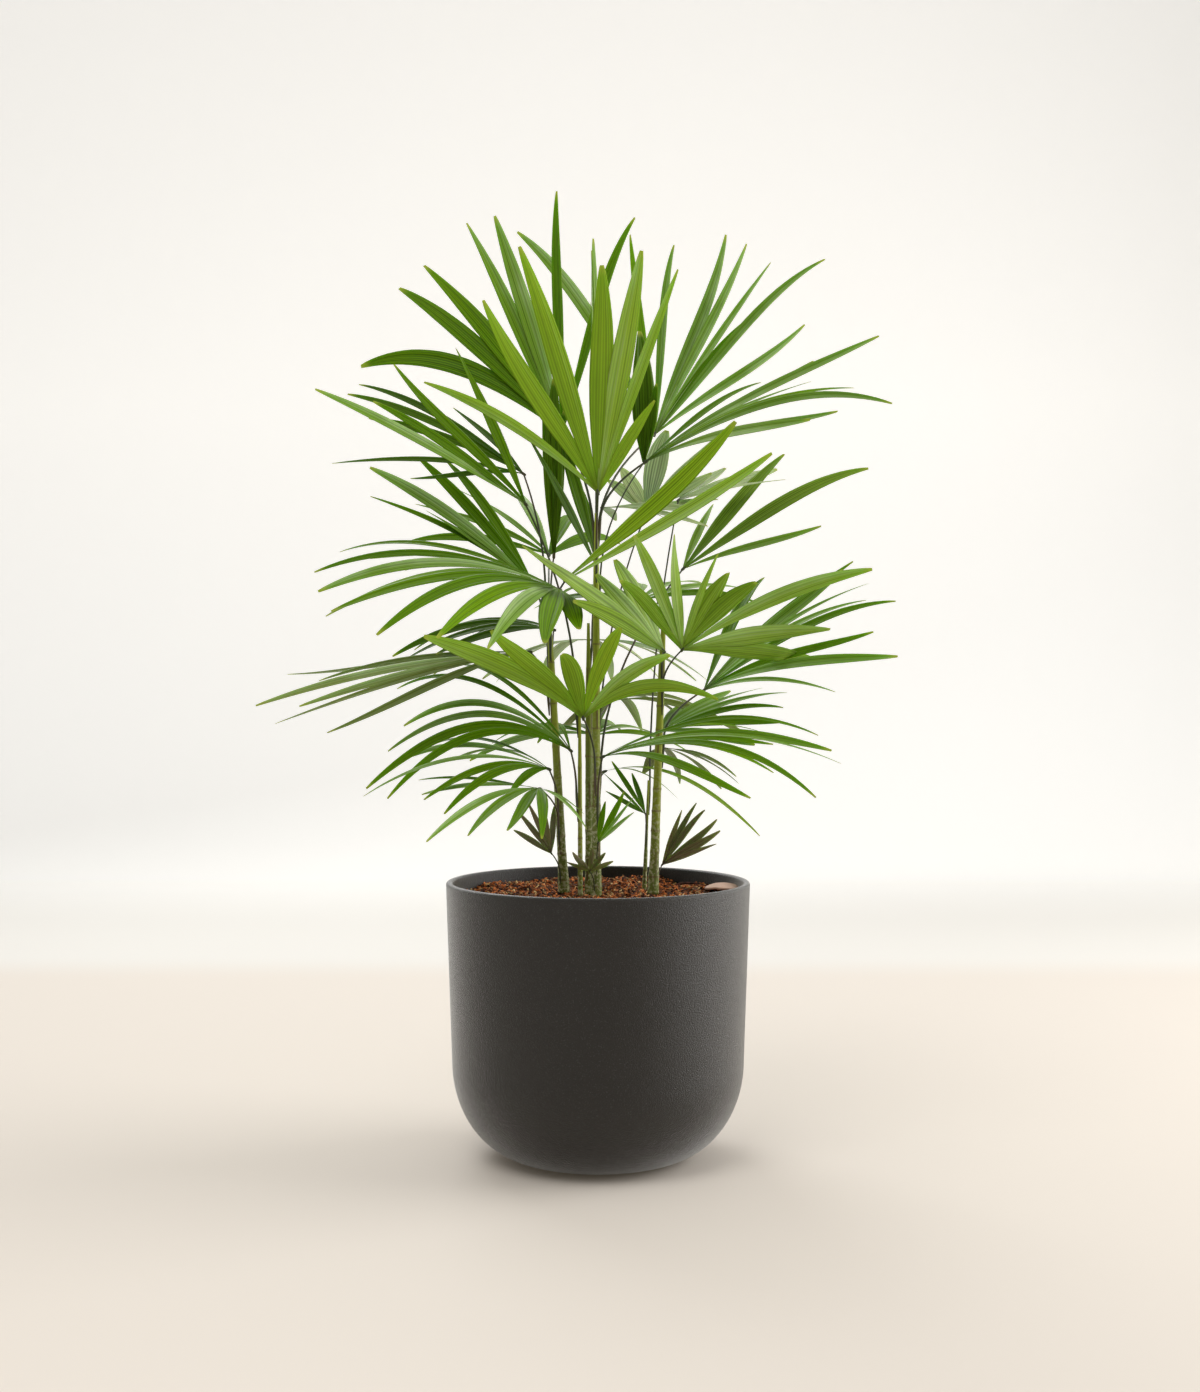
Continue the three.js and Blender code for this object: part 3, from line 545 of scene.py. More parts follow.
class Growth(Maker):
    """A Geometry Nodes tree with named inputs."""

    def __init__(self, name):
        super().__init__(bpy.data.node_groups.new(name, "GeometryNodeTree"))
        self.tree.is_modifier = True
        for way in ("INPUT", "OUTPUT"):
            self.tree.interface.new_socket("Geometry", in_out=way, socket_type="NodeSocketGeometry")
        self.start = self.tree.nodes.new("NodeGroupInput")

    def ask(self, kind, *names):
        """Named inputs of one kind."""
        for name in names:
            self.tree.interface.new_socket(name, in_out="INPUT", socket_type=f"NodeSocket{kind}")
        asked = [Link(self, self.start.outputs[name]) for name in names]
        return asked if len(asked) > 1 else asked[0]

    def geometry(self):
        return Link(self, self.start.outputs["Geometry"])

    def attribute(self, name, data_type="FLOAT"):
        return self.node("GeometryNodeInputNamedAttribute", {"data_type": data_type}, {"Name": name})

    def store(self, geometry, name, value):
        settings = {"data_type": "FLOAT", "domain": "POINT"}
        return self.node("GeometryNodeStoreNamedAttribute", settings,
                         {"Geometry": geometry, "Name": name, "Value": value})

    def point(self, x, y, z):
        return self.node("ShaderNodeCombineXYZ", sockets={"X": x, "Y": y, "Z": z})

    def finish(self, geometry):
        """Smooth shading, realized instances, the material, and the way out."""
        smooth = self.node("GeometryNodeSetShadeSmooth", sockets={"Geometry": geometry})
        whole = self.node("GeometryNodeRealizeInstances", sockets={"Geometry": smooth})
        dressed = self.node("GeometryNodeSetMaterial", sockets={
            "Geometry": whole, "Material": self.ask("Material", "Material"),
        })
        self.tree.links.new(dressed.socket, self.tree.nodes.new("NodeGroupOutput").inputs["Geometry"])
        return self.tree


# ---- Meshes -----------------------------------------------------------------------------------


def linked(name, data):
    """A new object of the scene."""
    piece = bpy.data.objects.new(name, data)
    bpy.context.scene.collection.objects.link(piece)
    return piece


def mesh_of(name, points, faces, edges=(), attributes=None):
    """A mesh of points in millimetres, with float or vector attributes on its points."""
    mesh = bpy.data.meshes.new(name)
    mesh.from_pydata((np.asarray(points) * MM).tolist(), list(edges), list(faces))
    for label, values in (attributes or {}).items():
        values = np.asarray(values, float)
        vector = values.ndim == 2
        made = mesh.attributes.new(label, "FLOAT_VECTOR" if vector else "FLOAT", "POINT")
        made.data.foreach_set("vector" if vector else "value", values.ravel())
    mesh.shade_smooth()
    return mesh


def grown(piece, tree, inputs):
    """The piece's mesh replaced by what the tree makes of it."""
    modifier = piece.modifiers.new("Growth", "NODES")
    modifier.node_group = tree
    for item in tree.interface.items_tree:
        if item.in_out == "INPUT" and item.name in inputs:
            modifier[item.identifier] = inputs[item.name]
    evaluated = piece.evaluated_get(bpy.context.evaluated_depsgraph_get())
    mesh = bpy.data.meshes.new_from_object(evaluated)
    piece.modifiers.remove(modifier)
    piece.data = mesh
    return piece


def ring_faces(rings, sides, closed_low=True, closed_high=True):
    """The faces of a skin over rings of points, with flat ends where they are closed."""
    faces = []
    for ring in range(rings - 1):
        for side in range(sides):
            low = ring * sides + side
            low_next = ring * sides + (side + 1) % sides
            faces.append((low, low_next, low_next + sides, low + sides))
    if closed_low:
        faces.append(tuple(range(sides - 1, -1, -1)))
    if closed_high:
        faces.append(tuple(range((rings - 1) * sides, rings * sides)))
    return faces


def turned(name, profile, sides):
    """A closed solid turned about the pot's axis, from radius and height pairs that start and end on it."""
    angles = np.linspace(0, 2 * math.pi, sides, endpoint=False)
    middle = profile[1:-1]
    points = [(r * math.cos(a), r * math.sin(a), z) for r, z in middle for a in angles]
    faces = ring_faces(len(middle), sides, False, False)
    points += [(0, 0, profile[0][1]), (0, 0, profile[-1][1])]
    last = (len(middle) - 1) * sides
    low, high = len(points) - 2, len(points) - 1
    for side in range(sides):
        following = (side + 1) % sides
        faces.append((low, following, side))
        faces.append((high, last + side, last + following))
    return mesh_of(name, points, faces)


def worn(piece, slot, *nodes):
    """Attaches a finished piece to the root and hides the frame's nodes it stands for; its slot is not
    used.
    """
    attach(piece, "root")
    if nodes:
        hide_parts(*nodes)


# ---- Pot --------------------------------------------------------------------------------------

POT_SIDES = 160
FOOT_STEPS = 26
LIP_STEPS = 6
# Noise scales here and in the other finishes are in waves to a metre.
POT_GRAIN, POT_PITS, POT_FLECKS, POT_CLOUDS = 850, 560, 700, 9
POT_RELIEF = 0.8 * MM


def foot_curve(pot, inset, steps):
    """The round foot's outline from the floor up, moved inwards by an inset."""
    across = pot.shoulder_radius - pot.foot_radius - inset
    rise = pot.shoulder_height - inset
    angles = np.linspace(math.pi / 2, 0, steps + 1)
    return [
        ((pot.foot_radius + across * math.cos(a)) / MM, (inset + rise * (1 - math.sin(a))) / MM)
        for a in angles
    ]


def lip_curve(centre, radius, start, stop):
    """The rim's rounding between two angles, in degrees."""
    angles = np.linspace(math.radians(start), math.radians(stop), LIP_STEPS + 1)
    return [(centre[0] + radius * math.cos(a), centre[1] + radius * math.sin(a)) for a in angles]


def pot_finish(pot):
    """Charcoal with faint clouds, paler flecks and a fine grain."""
    finish = Finish("charcoal_pot", Specular_IOR_Level=0.5, Sheen_Weight=0.9, Sheen_Roughness=0.3)
    grain = finish.noise(POT_GRAIN, 2)
    colour = finish.layered(pot.colour, (
        (finish.noise(POT_CLOUDS), 0.5, scaled(pot.colour, 1.22)),
        (finish.step(finish.noise(POT_FLECKS, 1), 0.60, 0.72), 0.55, pot.fleck),
    ))
    height = grain + 0.5 * finish.noise(POT_PITS, 2)
    return finish.end(colour, 0.30 + 0.12 * grain, height, POT_RELIEF)


class LADYPALM_OT_pot(bpy.types.Operator):
    """Turn the pot's wall with its round foot and softened rim"""

    bl_idname = "lady_palm.pot"
    bl_label = "Pot"

    def execute(self, context):
        pot = context.scene.lady_palm_pot
        outside, inside = pot.rim_radius / MM, (pot.rim_radius - pot.wall) / MM
        lip, top = pot.lip / MM, pot.height / MM
        profile = [
            (0, 0),
            *foot_curve(pot, 0, FOOT_STEPS),
            *lip_curve((outside - lip, top - lip), lip, 0, 90),
            *lip_curve((inside + lip, top - lip), lip, 90, 180),
            *reversed(foot_curve(pot, pot.wall, FOOT_STEPS)),
            (0, pot.wall / MM),
        ]
        piece = linked("pot_wall", turned("pot_wall", profile, POT_SIDES))
        piece.data.materials.append(pot_finish(pot))
        worn(piece, "pot", "pot")
        return {"FINISHED"}


# ---- Soil -------------------------------------------------------------------------------------

SOIL_RINGS = 60
SOIL_SIDES = 140
SOIL_DEPTH = 34  # how deep the visible crust goes
SOIL_TAPER = 0.985  # of its radius, at its underside
SOIL_SETTLED = 1  # how far its middle level lies below the frame's soil
SOIL_DISH = 2.5  # how much lower the surface lies at the wall
# Each kind of unevenness: its waves to a millimetre, its share of the whole, and its own noise.
HUMPS = (0.018, 0.7, 3.1)
CRUMBS = (0.11, 0.3, 7.7)
CRUMB_PATCHES, CRUMB_GRAIN = 150, 1400
CRUMB_RELIEF = 0.6 * MM
CHIPS = {"dark": (11, 0.8), "red": (23, 1.5), "light": (37, 0.5)}  # a colour's seed, and its share
CHIP_LIFT = 0.4 * MM  # of a chip's middle above the crust
# The least and the most that a chip is turned about each axis, and stretched along it.
CHIP_TURNS = ((-0.9, -0.9, 0.0), (0.9, 0.9, 2 * math.pi))
CHIP_SIZES = ((0.35, 0.35, 0.4), (1.35, 0.95, 1.0))
LEVEL_ENOUGH = 0.5  # the rise of a face's normal from which it carries chips


def soil_height(soil, x, y, radius):
    """The height of the mix above its middle level, in millimetres."""
    uneven = sum(share * wander(x * waves, y * waves, own) for waves, share, own in (HUMPS, CRUMBS))
    return uneven * soil.unevenness / MM - SOIL_DISH * (math.hypot(x, y) / radius) ** 3


def soil_crust(soil):
    """The top of the mix with its humps, and a flat-bottomed crust under it."""
    radius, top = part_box("soil")[1].x / MM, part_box("soil")[1].z / MM
    places = [(0, 0)]
    angles = np.linspace(0, 2 * math.pi, SOIL_SIDES, endpoint=False)
    for share in np.linspace(1, 0, SOIL_RINGS, endpoint=False):
        places += [(share * radius * math.cos(a), share * radius * math.sin(a)) for a in angles]
    middle, *upper = [(x, y, top - SOIL_SETTLED + soil_height(soil, x, y, radius)) for x, y in places]
    low = SOIL_TAPER * radius
    lower = [(low * math.cos(a), low * math.sin(a), top - SOIL_DEPTH) for a in angles]
    faces = ring_faces(SOIL_RINGS + 1, SOIL_SIDES, True, False)
    last = SOIL_RINGS * SOIL_SIDES
    centre = last + SOIL_SIDES
    faces += [(last + side, last + (side + 1) % SOIL_SIDES, centre) for side in range(SOIL_SIDES)]
    return mesh_of("soil_crust", [*lower, *upper, middle], faces)


def crumb_finish(name, colour, paler=1.9):
    """Dry crumbs of one colour, in darker and paler patches."""
    finish = Finish(name, Specular_IOR_Level=0.25)
    patches = finish.step(finish.noise(CRUMB_PATCHES, 2), 0.35, 0.65)
    fine = finish.noise(CRUMB_GRAIN)
    tinted = finish.mix(patches, scaled(colour, 0.38), scaled(colour, paler))
    return finish.end(tinted, 0.78 + 0.16 * fine, fine, CRUMB_RELIEF)


def chip_mesh():
    """A splinter of coir: a bent wedge of twelve triangles, one millimetre long."""
    points = np.array([
        (-0.50, -0.20, -0.10), (-0.46, 0.18, -0.06), (-0.48, 0.02, 0.16), (0.02, -0.30, -0.02),
        (0.00, 0.26, 0.02), (0.04, -0.02, 0.26), (0.50, -0.06, -0.12), (0.47, 0.10, -0.04),
    ])
    faces = [
        (0, 1, 3), (1, 4, 3), (3, 4, 6), (4, 7, 6), (0, 2, 1), (0, 3, 2), (3, 5, 2),
        (1, 2, 4), (2, 5, 4), (3, 6, 5), (4, 5, 7), (5, 6, 7),
    ]
    return mesh_of("chip", points, faces)


def chip_tree():
    """Strews a chip over the upward faces of a surface, turned and sized at random."""
    growth = Growth("strewn_chips")
    chip = growth.ask("Object", "Chip")
    density, size, lift = growth.ask("Float", "Density", "Size", "Lift")
    seed = growth.ask("Int", "Seed")
    normal = growth.node("GeometryNodeInputNormal")
    rise = growth.node("ShaderNodeSeparateXYZ", sockets={"Vector": normal}, output="Z")
    spots = growth.node("GeometryNodeDistributePointsOnFaces", sockets={
        "Mesh": growth.geometry(), "Density": density, "Seed": seed, "Selection": rise > LEVEL_ENOUGH,
    })
    raised = growth.node("GeometryNodeSetPosition", sockets={
        "Geometry": spots, "Offset": growth.point(0.0, 0.0, lift),
    })
    turn, stretch = (
        growth.node("FunctionNodeRandomValue", {"data_type": "FLOAT_VECTOR"}, {
            "Min": low, "Max": high, "Seed": seed,
        })
        for low, high in (CHIP_TURNS, CHIP_SIZES)
    )
    strewn = growth.node("GeometryNodeInstanceOnPoints", sockets={
        "Points": raised,
        "Instance": growth.node("GeometryNodeObjectInfo", sockets={"Object": chip}, output="Geometry"),
        "Rotation": growth.node("FunctionNodeEulerToRotation", sockets={"Euler": turn}),
        "Scale": growth.node("ShaderNodeVectorMath", {"operation": "SCALE"}, {0: stretch, "Scale": size}),
    })
    return growth.finish(strewn)


class LADYPALM_OT_soil(bpy.types.Operator):
    """Lay the coir mix and strew its chips"""

    bl_idname = "lady_palm.soil"
    bl_label = "Coir mix"

    def execute(self, context):
        soil = context.scene.lady_palm_soil
        crust = linked("soil_crust", soil_crust(soil))
        # The crust is painted dark: painted shade in the gaps between the chips.
        crust.data.materials.append(crumb_finish("coir_crumbs", scaled(soil.red, 0.2), 2.2))
        worn(crust, "soil", "soil")
        chip = linked("chip_pattern", chip_mesh())
        tree = chip_tree()
        for shade, (seed, share) in CHIPS.items():
            piece = linked(f"coir_chips_{shade}", crust.data.copy())
            piece.data.materials.clear()
            grown(piece, tree, {
                "Chip": chip,
                "Density": soil.chip_density * share,
                "Size": soil.chip_length / MM,
                "Lift": CHIP_LIFT,
                "Seed": seed,
                "Material": crumb_finish(f"coir_{shade}", getattr(soil, shade)),
            })
            worn(piece, "soil")
        bpy.data.objects.remove(chip)
        return {"FINISHED"}


# ---- Bark flake and twig ----------------------------------------------------------------------

FLAKE_ROWS = 18
FLAKE_TURN = 76  # degrees from +X
FLAKE_SHIFT = (6, -5)  # from the frame's flake towards the wall
FLAKE_SIZE = (58, 38)
FLAKE_ROUND = (0.5, 0.42)  # how much its sides draw in towards its ends
FLAKE_THICKNESS = 2.2
FLAKE_RISE = 2.8  # of its middle line
# How ragged its outline is and how wavy its face, the waves of each, and its own noise.
FLAKE_RAGGED = (0.05, 2.3, 5.0)
FLAKE_WAVY = (0.9, 1.7, 1.0)
FLAKE_GRAIN = 60
FLAKE_RELIEF = 0.8 * MM
TWIG_LINE = ((92, 44, 305.5), (101, 50, 307), (112, 52, 306.5), (121, 58, 305))
TWIG_WIDTHS = (1.2, 1.5, 1.3, 0.7)
TWIG_SIDES = 8


def flake_mesh():
    """A dry flake with a rounded outline, its middle raised, thick enough to show its edge."""
    low, high = (np.array(corner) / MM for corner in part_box("bark_flake"))
    middle = (low + high) / 2 + (*FLAKE_SHIFT, 0)
    angle = math.radians(FLAKE_TURN)
    shares = np.linspace(-1, 1, FLAKE_ROWS)
    points = []
    for face, i, j in itertools.product((0, 1), shares, shares):
        ragged, wavy = (
            strength * wander(i * waves, j * waves, own)
            for strength, waves, own in (FLAKE_RAGGED, FLAKE_WAVY)
        )
        along = i * math.sqrt(1 - FLAKE_ROUND[0] * j * j) * FLAKE_SIZE[0] / 2 * (1 + ragged)
        across = j * math.sqrt(1 - FLAKE_ROUND[1] * i * i) * FLAKE_SIZE[1] / 2 * (1 + ragged)
        lift = FLAKE_RISE * (1 - (2 * across / FLAKE_SIZE[1]) ** 2) + wavy + face * FLAKE_THICKNESS
        points.append((
            middle[0] + along * math.cos(angle) - across * math.sin(angle),
            middle[1] + along * math.sin(angle) + across * math.cos(angle),
            low[2] + max(0.0, lift),
        ))
    n = FLAKE_ROWS
    count = n * n
    under = [(at, at + 1, at + n + 1, at + n) for at in range(count - n) if (at + 1) % n]
    over = [tuple(corner + count for corner in reversed(face)) for face in under]
    rim = [*range(n - 1), *range(n - 1, count - 1, n)]
    rim += [*range(count - 1, count - n, -1), *range(count - n, 0, -n)]
    wall = [(b, a, a + count, b + count) for a, b in zip(rim, rim[1:] + rim[:1])]
    return mesh_of("bark_flake_sheet", points, under + over + wall)


def flake_finish(colour):
    """Dry bark with a grain along it."""
    finish = Finish("dry_flake", Specular_IOR_Level=0.3)
    grain = finish.noise(FLAKE_GRAIN, 4, finish.stretched((1.0, 5.0, 1.0)))
    colour = finish.mix(grain, scaled(colour, 0.72), scaled(colour, 1.3))
    return finish.end(colour, 0.55 + 0.2 * grain, grain, FLAKE_RELIEF)


class LADYPALM_OT_flake(bpy.types.Operator):
    """Lay the dry bark flake and a twig on the mix"""

    bl_idname = "lady_palm.flake"
    bl_label = "Bark flake and twig"

    def execute(self, context):
        soil = context.scene.lady_palm_soil
        flake = linked("bark_flake_sheet", flake_mesh())
        flake.data.materials.append(flake_finish(soil.flake))
        worn(flake, "bark", "bark_flake")
        dark = crumb_finish("dark_twig", scaled(soil.dark, 0.8))
        twig = swept("twig", [(TWIG_LINE, TWIG_WIDTHS)], TWIG_SIDES, dark)
        worn(twig, "bark")
        return {"FINISHED"}


# ---- Canes and petioles -----------------------------------------------------------------------

CANE_RING_STEP = 2.5  # from one of the mesh's rings to the next
SLIM_CANE = 4  # a foot's radius up to which the cane counts as slim
SLIM_STEP = 1.5  # how much further apart a slim cane's leaf scars are
SCAR_SEED = 71
# Of the ring step: the first scar above the foot, the steps between scars, the last below the top.
FIRST_SCAR, SCAR_STEPS, LAST_SCAR = (0.4, 0.8), (0.8, 1.3), 0.5
SCAR_SWELL = 0.10  # of the radius
SCAR_HEIGHT = 1.6
SHEATH_STEP = 0.085  # of the radius, from one lapped edge to the other
SHEATH_EASE = 0.4  # how much of the step is gone a ring step higher up
SEAM_TURN = 2.4  # radians from a sheath's edge to the next one's
SEAM_WANDER, SEAM_WAVES = 0.5, 0.012  # radians, and waves to a millimetre
FLUTES, FLUTE_WAVES = 0.05, 0.01  # of the radius, and waves to a millimetre
CANE_STREAKS, CANE_MOTTLE, CANE_BLOTCHES = 55, 300, 38
CANE_RELIEF = 0.5 * MM
# Each cane's finish and how far up its dark foot reaches. cane_rear and cane_young_right wear a painted
# shaded copy of the skin, and cane_right, which the window at the right lights, a painted lit copy.
CANE_SKINS = {
    "cane_left": ("cane_skin", 0.35),
    "cane_centre": ("cane_skin", 0.35),
    "cane_rear": ("cane_skin_painted_shade", 1.1),
    "cane_right": ("cane_skin_painted_light", -0.05),
    "cane_young_left": ("cane_skin_fresh", -0.35),
    "cane_young_right": ("cane_skin_painted_shade", 1.1),
}
PETIOLE_SLIMMER = 0.72  # of the frame's petiole
PETIOLE_POINTS = 12
PETIOLE_SIDES = 10
PETIOLE_PATCHES, PETIOLE_STAINS, PETIOLE_GRAIN = 28, 15, 500
PETIOLE_RELIEF = 0.3 * MM
CLASP_DEPTH = 34  # how far a petiole's foot runs down its cane, at most
CLASP_PER_REACH = 0.18
CLASP_IN = 1.1  # how far its end lies towards the cane, of the petiole's thickness
CLASP_SWELL, CLASP_THINS = 0.25, 0.5
CLASP_POINTS = 4
KNOB_SIZE = 3.0
KNOB_RADIUS = 0.62  # of its size
KNOB_FROM, KNOB_TO, KNOB_END = -1, 1.5, 1.55  # along the fan, of its size; its outline ends at the last
KNOB_BLUNT = 0.04
KNOB_FULL_REACH = 200  # the reach from which a frond's knob has its full size
KNOB_LEAST = 0.35
KNOB_POINTS = 8


def sweep_tree():
    """Sweeps a round section along lines, thick by their attribute half_width."""
    growth = Growth("round_stems")
    sides = growth.ask("Int", "Sides")
    line = growth.node("GeometryNodeMeshToCurve", sockets={"Mesh": growth.geometry()})
    section = growth.node("GeometryNodeCurvePrimitiveCircle", sockets={"Resolution": sides, "Radius": 1.0})
    tube = growth.node("GeometryNodeCurveToMesh", sockets={
        "Curve": line, "Profile Curve": section, "Scale": growth.attribute("half_width"), "Fill Caps": True,
    })
    return growth.finish(tube)


def line_mesh(name, lines, extra=None):
    """Lines as a mesh of edges, in millimetres, with their half widths in metres."""
    points, edges, widths = [], [], []
    for stations, half_widths in lines:
        first = len(points)
        points.extend(stations)
        widths.extend(np.asarray(half_widths) * MM)
        edges.extend((first + at, first + at + 1) for at in range(len(stations) - 1))
    return mesh_of(name, points, (), edges, {"half_width": widths, **(extra or {})})


def swept(name, lines, sides, material):
    """A piece of round stems along lines."""
    piece = linked(name, line_mesh(name, lines))
    return grown(piece, sweep_tree(), {"Sides": sides, "Material": material})


def scar_heights(order, foot, top, ring_step):
    """The heights of a cane's leaf scars."""
    rng = random.Random(SCAR_SEED + order)
    scars = [foot + ring_step * rng.uniform(*FIRST_SCAR)]
    while scars[-1] < top - ring_step * LAST_SCAR:
        scars.append(scars[-1] + ring_step * rng.uniform(*SCAR_STEPS))
    return np.array(scars[:-1])


def cane_mesh(name, cane, order, ring_step, sides):
    """A cane with swollen leaf scars, the lapped edge of its old sheaths, and a flared foot."""
    foot, top = (corner.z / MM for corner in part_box(name))
    heights = np.append(np.arange(foot, top, CANE_RING_STEP), top)
    scars = scar_heights(order, foot, top, ring_step)
    angles = [2 * math.pi * side / sides for side in range(sides)]
    points, own = [], {"scar": [], "lap": [], "rise": []}
    for height in heights:
        centre, radius = cane_at(cane, height)
        swell = float(np.exp(-(((height - scars) / SCAR_HEIGHT) ** 2)).sum())
        swell *= min(1.0, (top - height) / CANE_TIP)
        section = int(np.searchsorted(scars, height))
        below = foot if section == 0 else scars[section - 1]
        sheath = SHEATH_STEP * (1 - SHEATH_EASE * min(1.0, (height - below) / ring_step))
        seam = SEAM_TURN * section + SEAM_WANDER * wander(height * SEAM_WAVES, order * 3.7, 0.0) + order
        for angle in angles:
            lap = ((angle - seam) / (2 * math.pi)) % 1.0
            flute = FLUTES * wander(2 * math.cos(angle), 2 * math.sin(angle), height * FLUTE_WAVES + order)
            size = radius * (1 + SCAR_SWELL * swell + sheath * (lap - 0.5) + flute)
            points.append(centre + size * np.array([math.cos(angle), math.sin(angle), 0]))
            own["lap"].append(lap)
        own["scar"] += [swell] * sides
        own["rise"] += [(height - foot) / (top - foot)] * sides
    return mesh_of(name, points, ring_faces(len(heights), sides), attributes=own)


def cane_finish(canes, name, dark_share):
    """Green above, deep green with pale lichen below, brown along the sheath's lapped edge."""
    finish = Finish(name, Specular_IOR_Level=0.25)
    rise = finish.attribute("rise")
    streaks = finish.noise(CANE_STREAKS, 4, finish.stretched((1.0, 1.0, 0.06)))
    mottle = finish.noise(CANE_MOTTLE, 4)
    uneven = rise + 0.35 * (finish.noise(CANE_BLOTCHES) - 0.5)
    upper = finish.step(uneven, 0.02 + dark_share * 0.3, 0.45 + dark_share * 0.6)
    spotted = finish.step(mottle, 0.47, 0.60) * (1 - finish.step(rise, 0.10, 0.55))
    edge = finish.step(finish.attribute("lap"), 0.86, 0.97) * finish.step(streaks, 0.30, 0.5)
    scar = finish.step(finish.attribute("scar"), 0.35, 0.9)
    body = finish.layered(finish.mix(upper, canes.deep, canes.green), (
        (finish.step(streaks, 0.42, 0.68), 0.7, scaled(canes.green, 0.45)),
        (spotted, 0.75, canes.lichen),
        (edge, 0.85, canes.fibre),
        (scar, 0.6, scaled(canes.fibre, 1.5)),
    ))
    return finish.end(body, 0.42 + 0.25 * mottle, mottle + streaks, CANE_RELIEF)


def petiole_finish(canes):
    """Dark skin in patches, with fibre-brown stains."""
    finish = Finish("petiole_skin", Specular_IOR_Level=0.45)
    patches = finish.noise(PETIOLE_PATCHES)
    body = finish.mix(patches, scaled(canes.petiole, 0.5), scaled(canes.petiole, 1.7))
    stains = finish.step(finish.noise(PETIOLE_STAINS, 2), 0.52, 0.62)
    body = finish.mix(stains * 0.6, body, canes.fibre)
    return finish.end(body, 0.42 + 0.2 * patches, finish.noise(PETIOLE_GRAIN, 2), PETIOLE_RELIEF)


def petiole_line(frond):
    """From a clasp on the cane up to the hub, thinning on its way."""
    centre, radius = cane_at(CANES[frond["cane"]], frond["leaves"])
    hub = np.array(frond["hub"], float)
    away = unit((hub - centre) * (1, 1, 0))
    thick = PETIOLE_RADIUS + PETIOLE_PER_REACH * frond["reach"]
    foot = centre + away * (radius + GAP / MM + thick)
    bend = foot + UP * (hub[2] - foot[2]) / 2
    share = np.linspace(0, 1, PETIOLE_POINTS)[:, None]
    rising = foot * (1 - share) ** 2 + 2 * bend * share * (1 - share) + hub * share**2
    widths = thick * PETIOLE_SLIMMER * (1 + (PETIOLE_TAPER - 1) * share[:, 0])
    depth = min(CLASP_DEPTH, frond["reach"] * CLASP_PER_REACH)
    low = np.linspace(1, 0, CLASP_POINTS, endpoint=False)[:, None]
    clasp = foot - UP * depth * low - away * thick * CLASP_IN * low
    clasp_shares = 1 + CLASP_SWELL * (1 - low[:, 0]) - CLASP_THINS * low[:, 0] ** 2
    clasp_widths = thick * PETIOLE_SLIMMER * clasp_shares
    return np.vstack([clasp, rising]), np.concatenate([clasp_widths, widths])


def knob_line(frond):
    """A short swelling at the hub, where the fingers meet."""
    share = KNOB_LEAST + (1 - KNOB_LEAST) * min(1.0, frond["reach"] / KNOB_FULL_REACH)
    size = KNOB_SIZE * share
    along = np.linspace(KNOB_FROM, KNOB_TO, KNOB_POINTS)
    widths = size * KNOB_RADIUS * np.sqrt(np.clip(1 - (along / KNOB_END) ** 2, KNOB_BLUNT, 1))
    return np.array(frond["hub"], float) + np.outer(along * size, fan_axes(frond)[0]), widths


class LADYPALM_OT_canes(bpy.types.Operator):
    """Grow the canes with their leaf scars and old sheaths"""

    bl_idname = "lady_palm.canes"
    bl_label = "Canes"

    def execute(self, context):
        canes = context.scene.lady_palm_canes
        skins = {skin: cane_finish(canes, *skin) for skin in dict.fromkeys(CANE_SKINS.values())}
        for order, (name, cane) in enumerate(CANES.items()):
            sides, step = canes.sides, canes.ring_step / MM
            if cane["radius"][0] <= SLIM_CANE:
                sides, step = sides // 2, step * SLIM_STEP
            piece = linked(f"{name}_stem", cane_mesh(name, cane, order, step, sides))
            piece.data.materials.append(skins[CANE_SKINS[name]])
            worn(piece, "cane", name)
        return {"FINISHED"}


class LADYPALM_OT_petioles(bpy.types.Operator):
    """Grow the petioles from their clasps to the hubs"""

    bl_idname = "lady_palm.petioles"
    bl_label = "Petioles"

    def execute(self, context):
        canes = context.scene.lady_palm_canes
        lines = [line(frond) for line in (petiole_line, knob_line) for frond in FRONDS]
        piece = swept("petioles", lines, PETIOLE_SIDES, petiole_finish(canes))
        worn(piece, "cane")
        return {"FINISHED"}


# ---- Leaf fingers -----------------------------------------------------------------------------

# Half width of a finger along its length, as shares of its length and of its widest.
FINGER_OUTLINE = (
    (0, 0.14), (0.08, 0.32), (0.2, 0.62), (0.35, 0.90), (0.48, 1.0), (0.6, 0.97), (0.74, 0.82),
    (0.86, 0.58), (0.94, 0.38), (0.98, 0.27), (1, 0.13),
)
OUTLINE_POINTS = 401  # at which the outline's corners are rounded
OUTLINE_WINDOW = 31  # how many of them a rounding takes in
OUTLINE_WIDER = 0.05  # how much it may widen the outline
ACROSS_PER_RIB = 4  # mesh spans in each pleat
TIP_CLOSER = 1.12  # above 1, a finger's points lie closer together towards its tip
TWIST = 38  # degrees at the tip, at most
BEND = 0.030  # how strongly a finger may bow sideways, of its length
ARCH = 0.045  # how strongly it may bow up or down
BREADTH_RANGE = 0.16
LAYER = 0.35  # near the hub, fingers lie by turns this much higher and lower
LAYER_FADE = 4  # at one over this of a finger's length, that is down to about a third
TO_LIGHT = np.array([0.35, -0.78, 0.52])  # leaves turn their faces this way as they grow
TURNED_TO_LIGHT = 0.55
TURNED_BY = 0.4  # the share of a finger's length at which it has turned to the light
PAINTED_GLEAM_TONES = ("bright", "mid", "light", "olive")  # tones whose fingers get a painted gleam, the window's light painted into their colour
# How much of a fan gets the painted gleam of the window at the right, by where its hub is.
PAINTED_GLEAM_FROM, PAINTED_GLEAM_HIGH = 40, 780  # its x and its z
PAINTED_GLEAM_SHARE, PAINTED_GLEAM_HIGH_SHARE = 0.35, 0.9
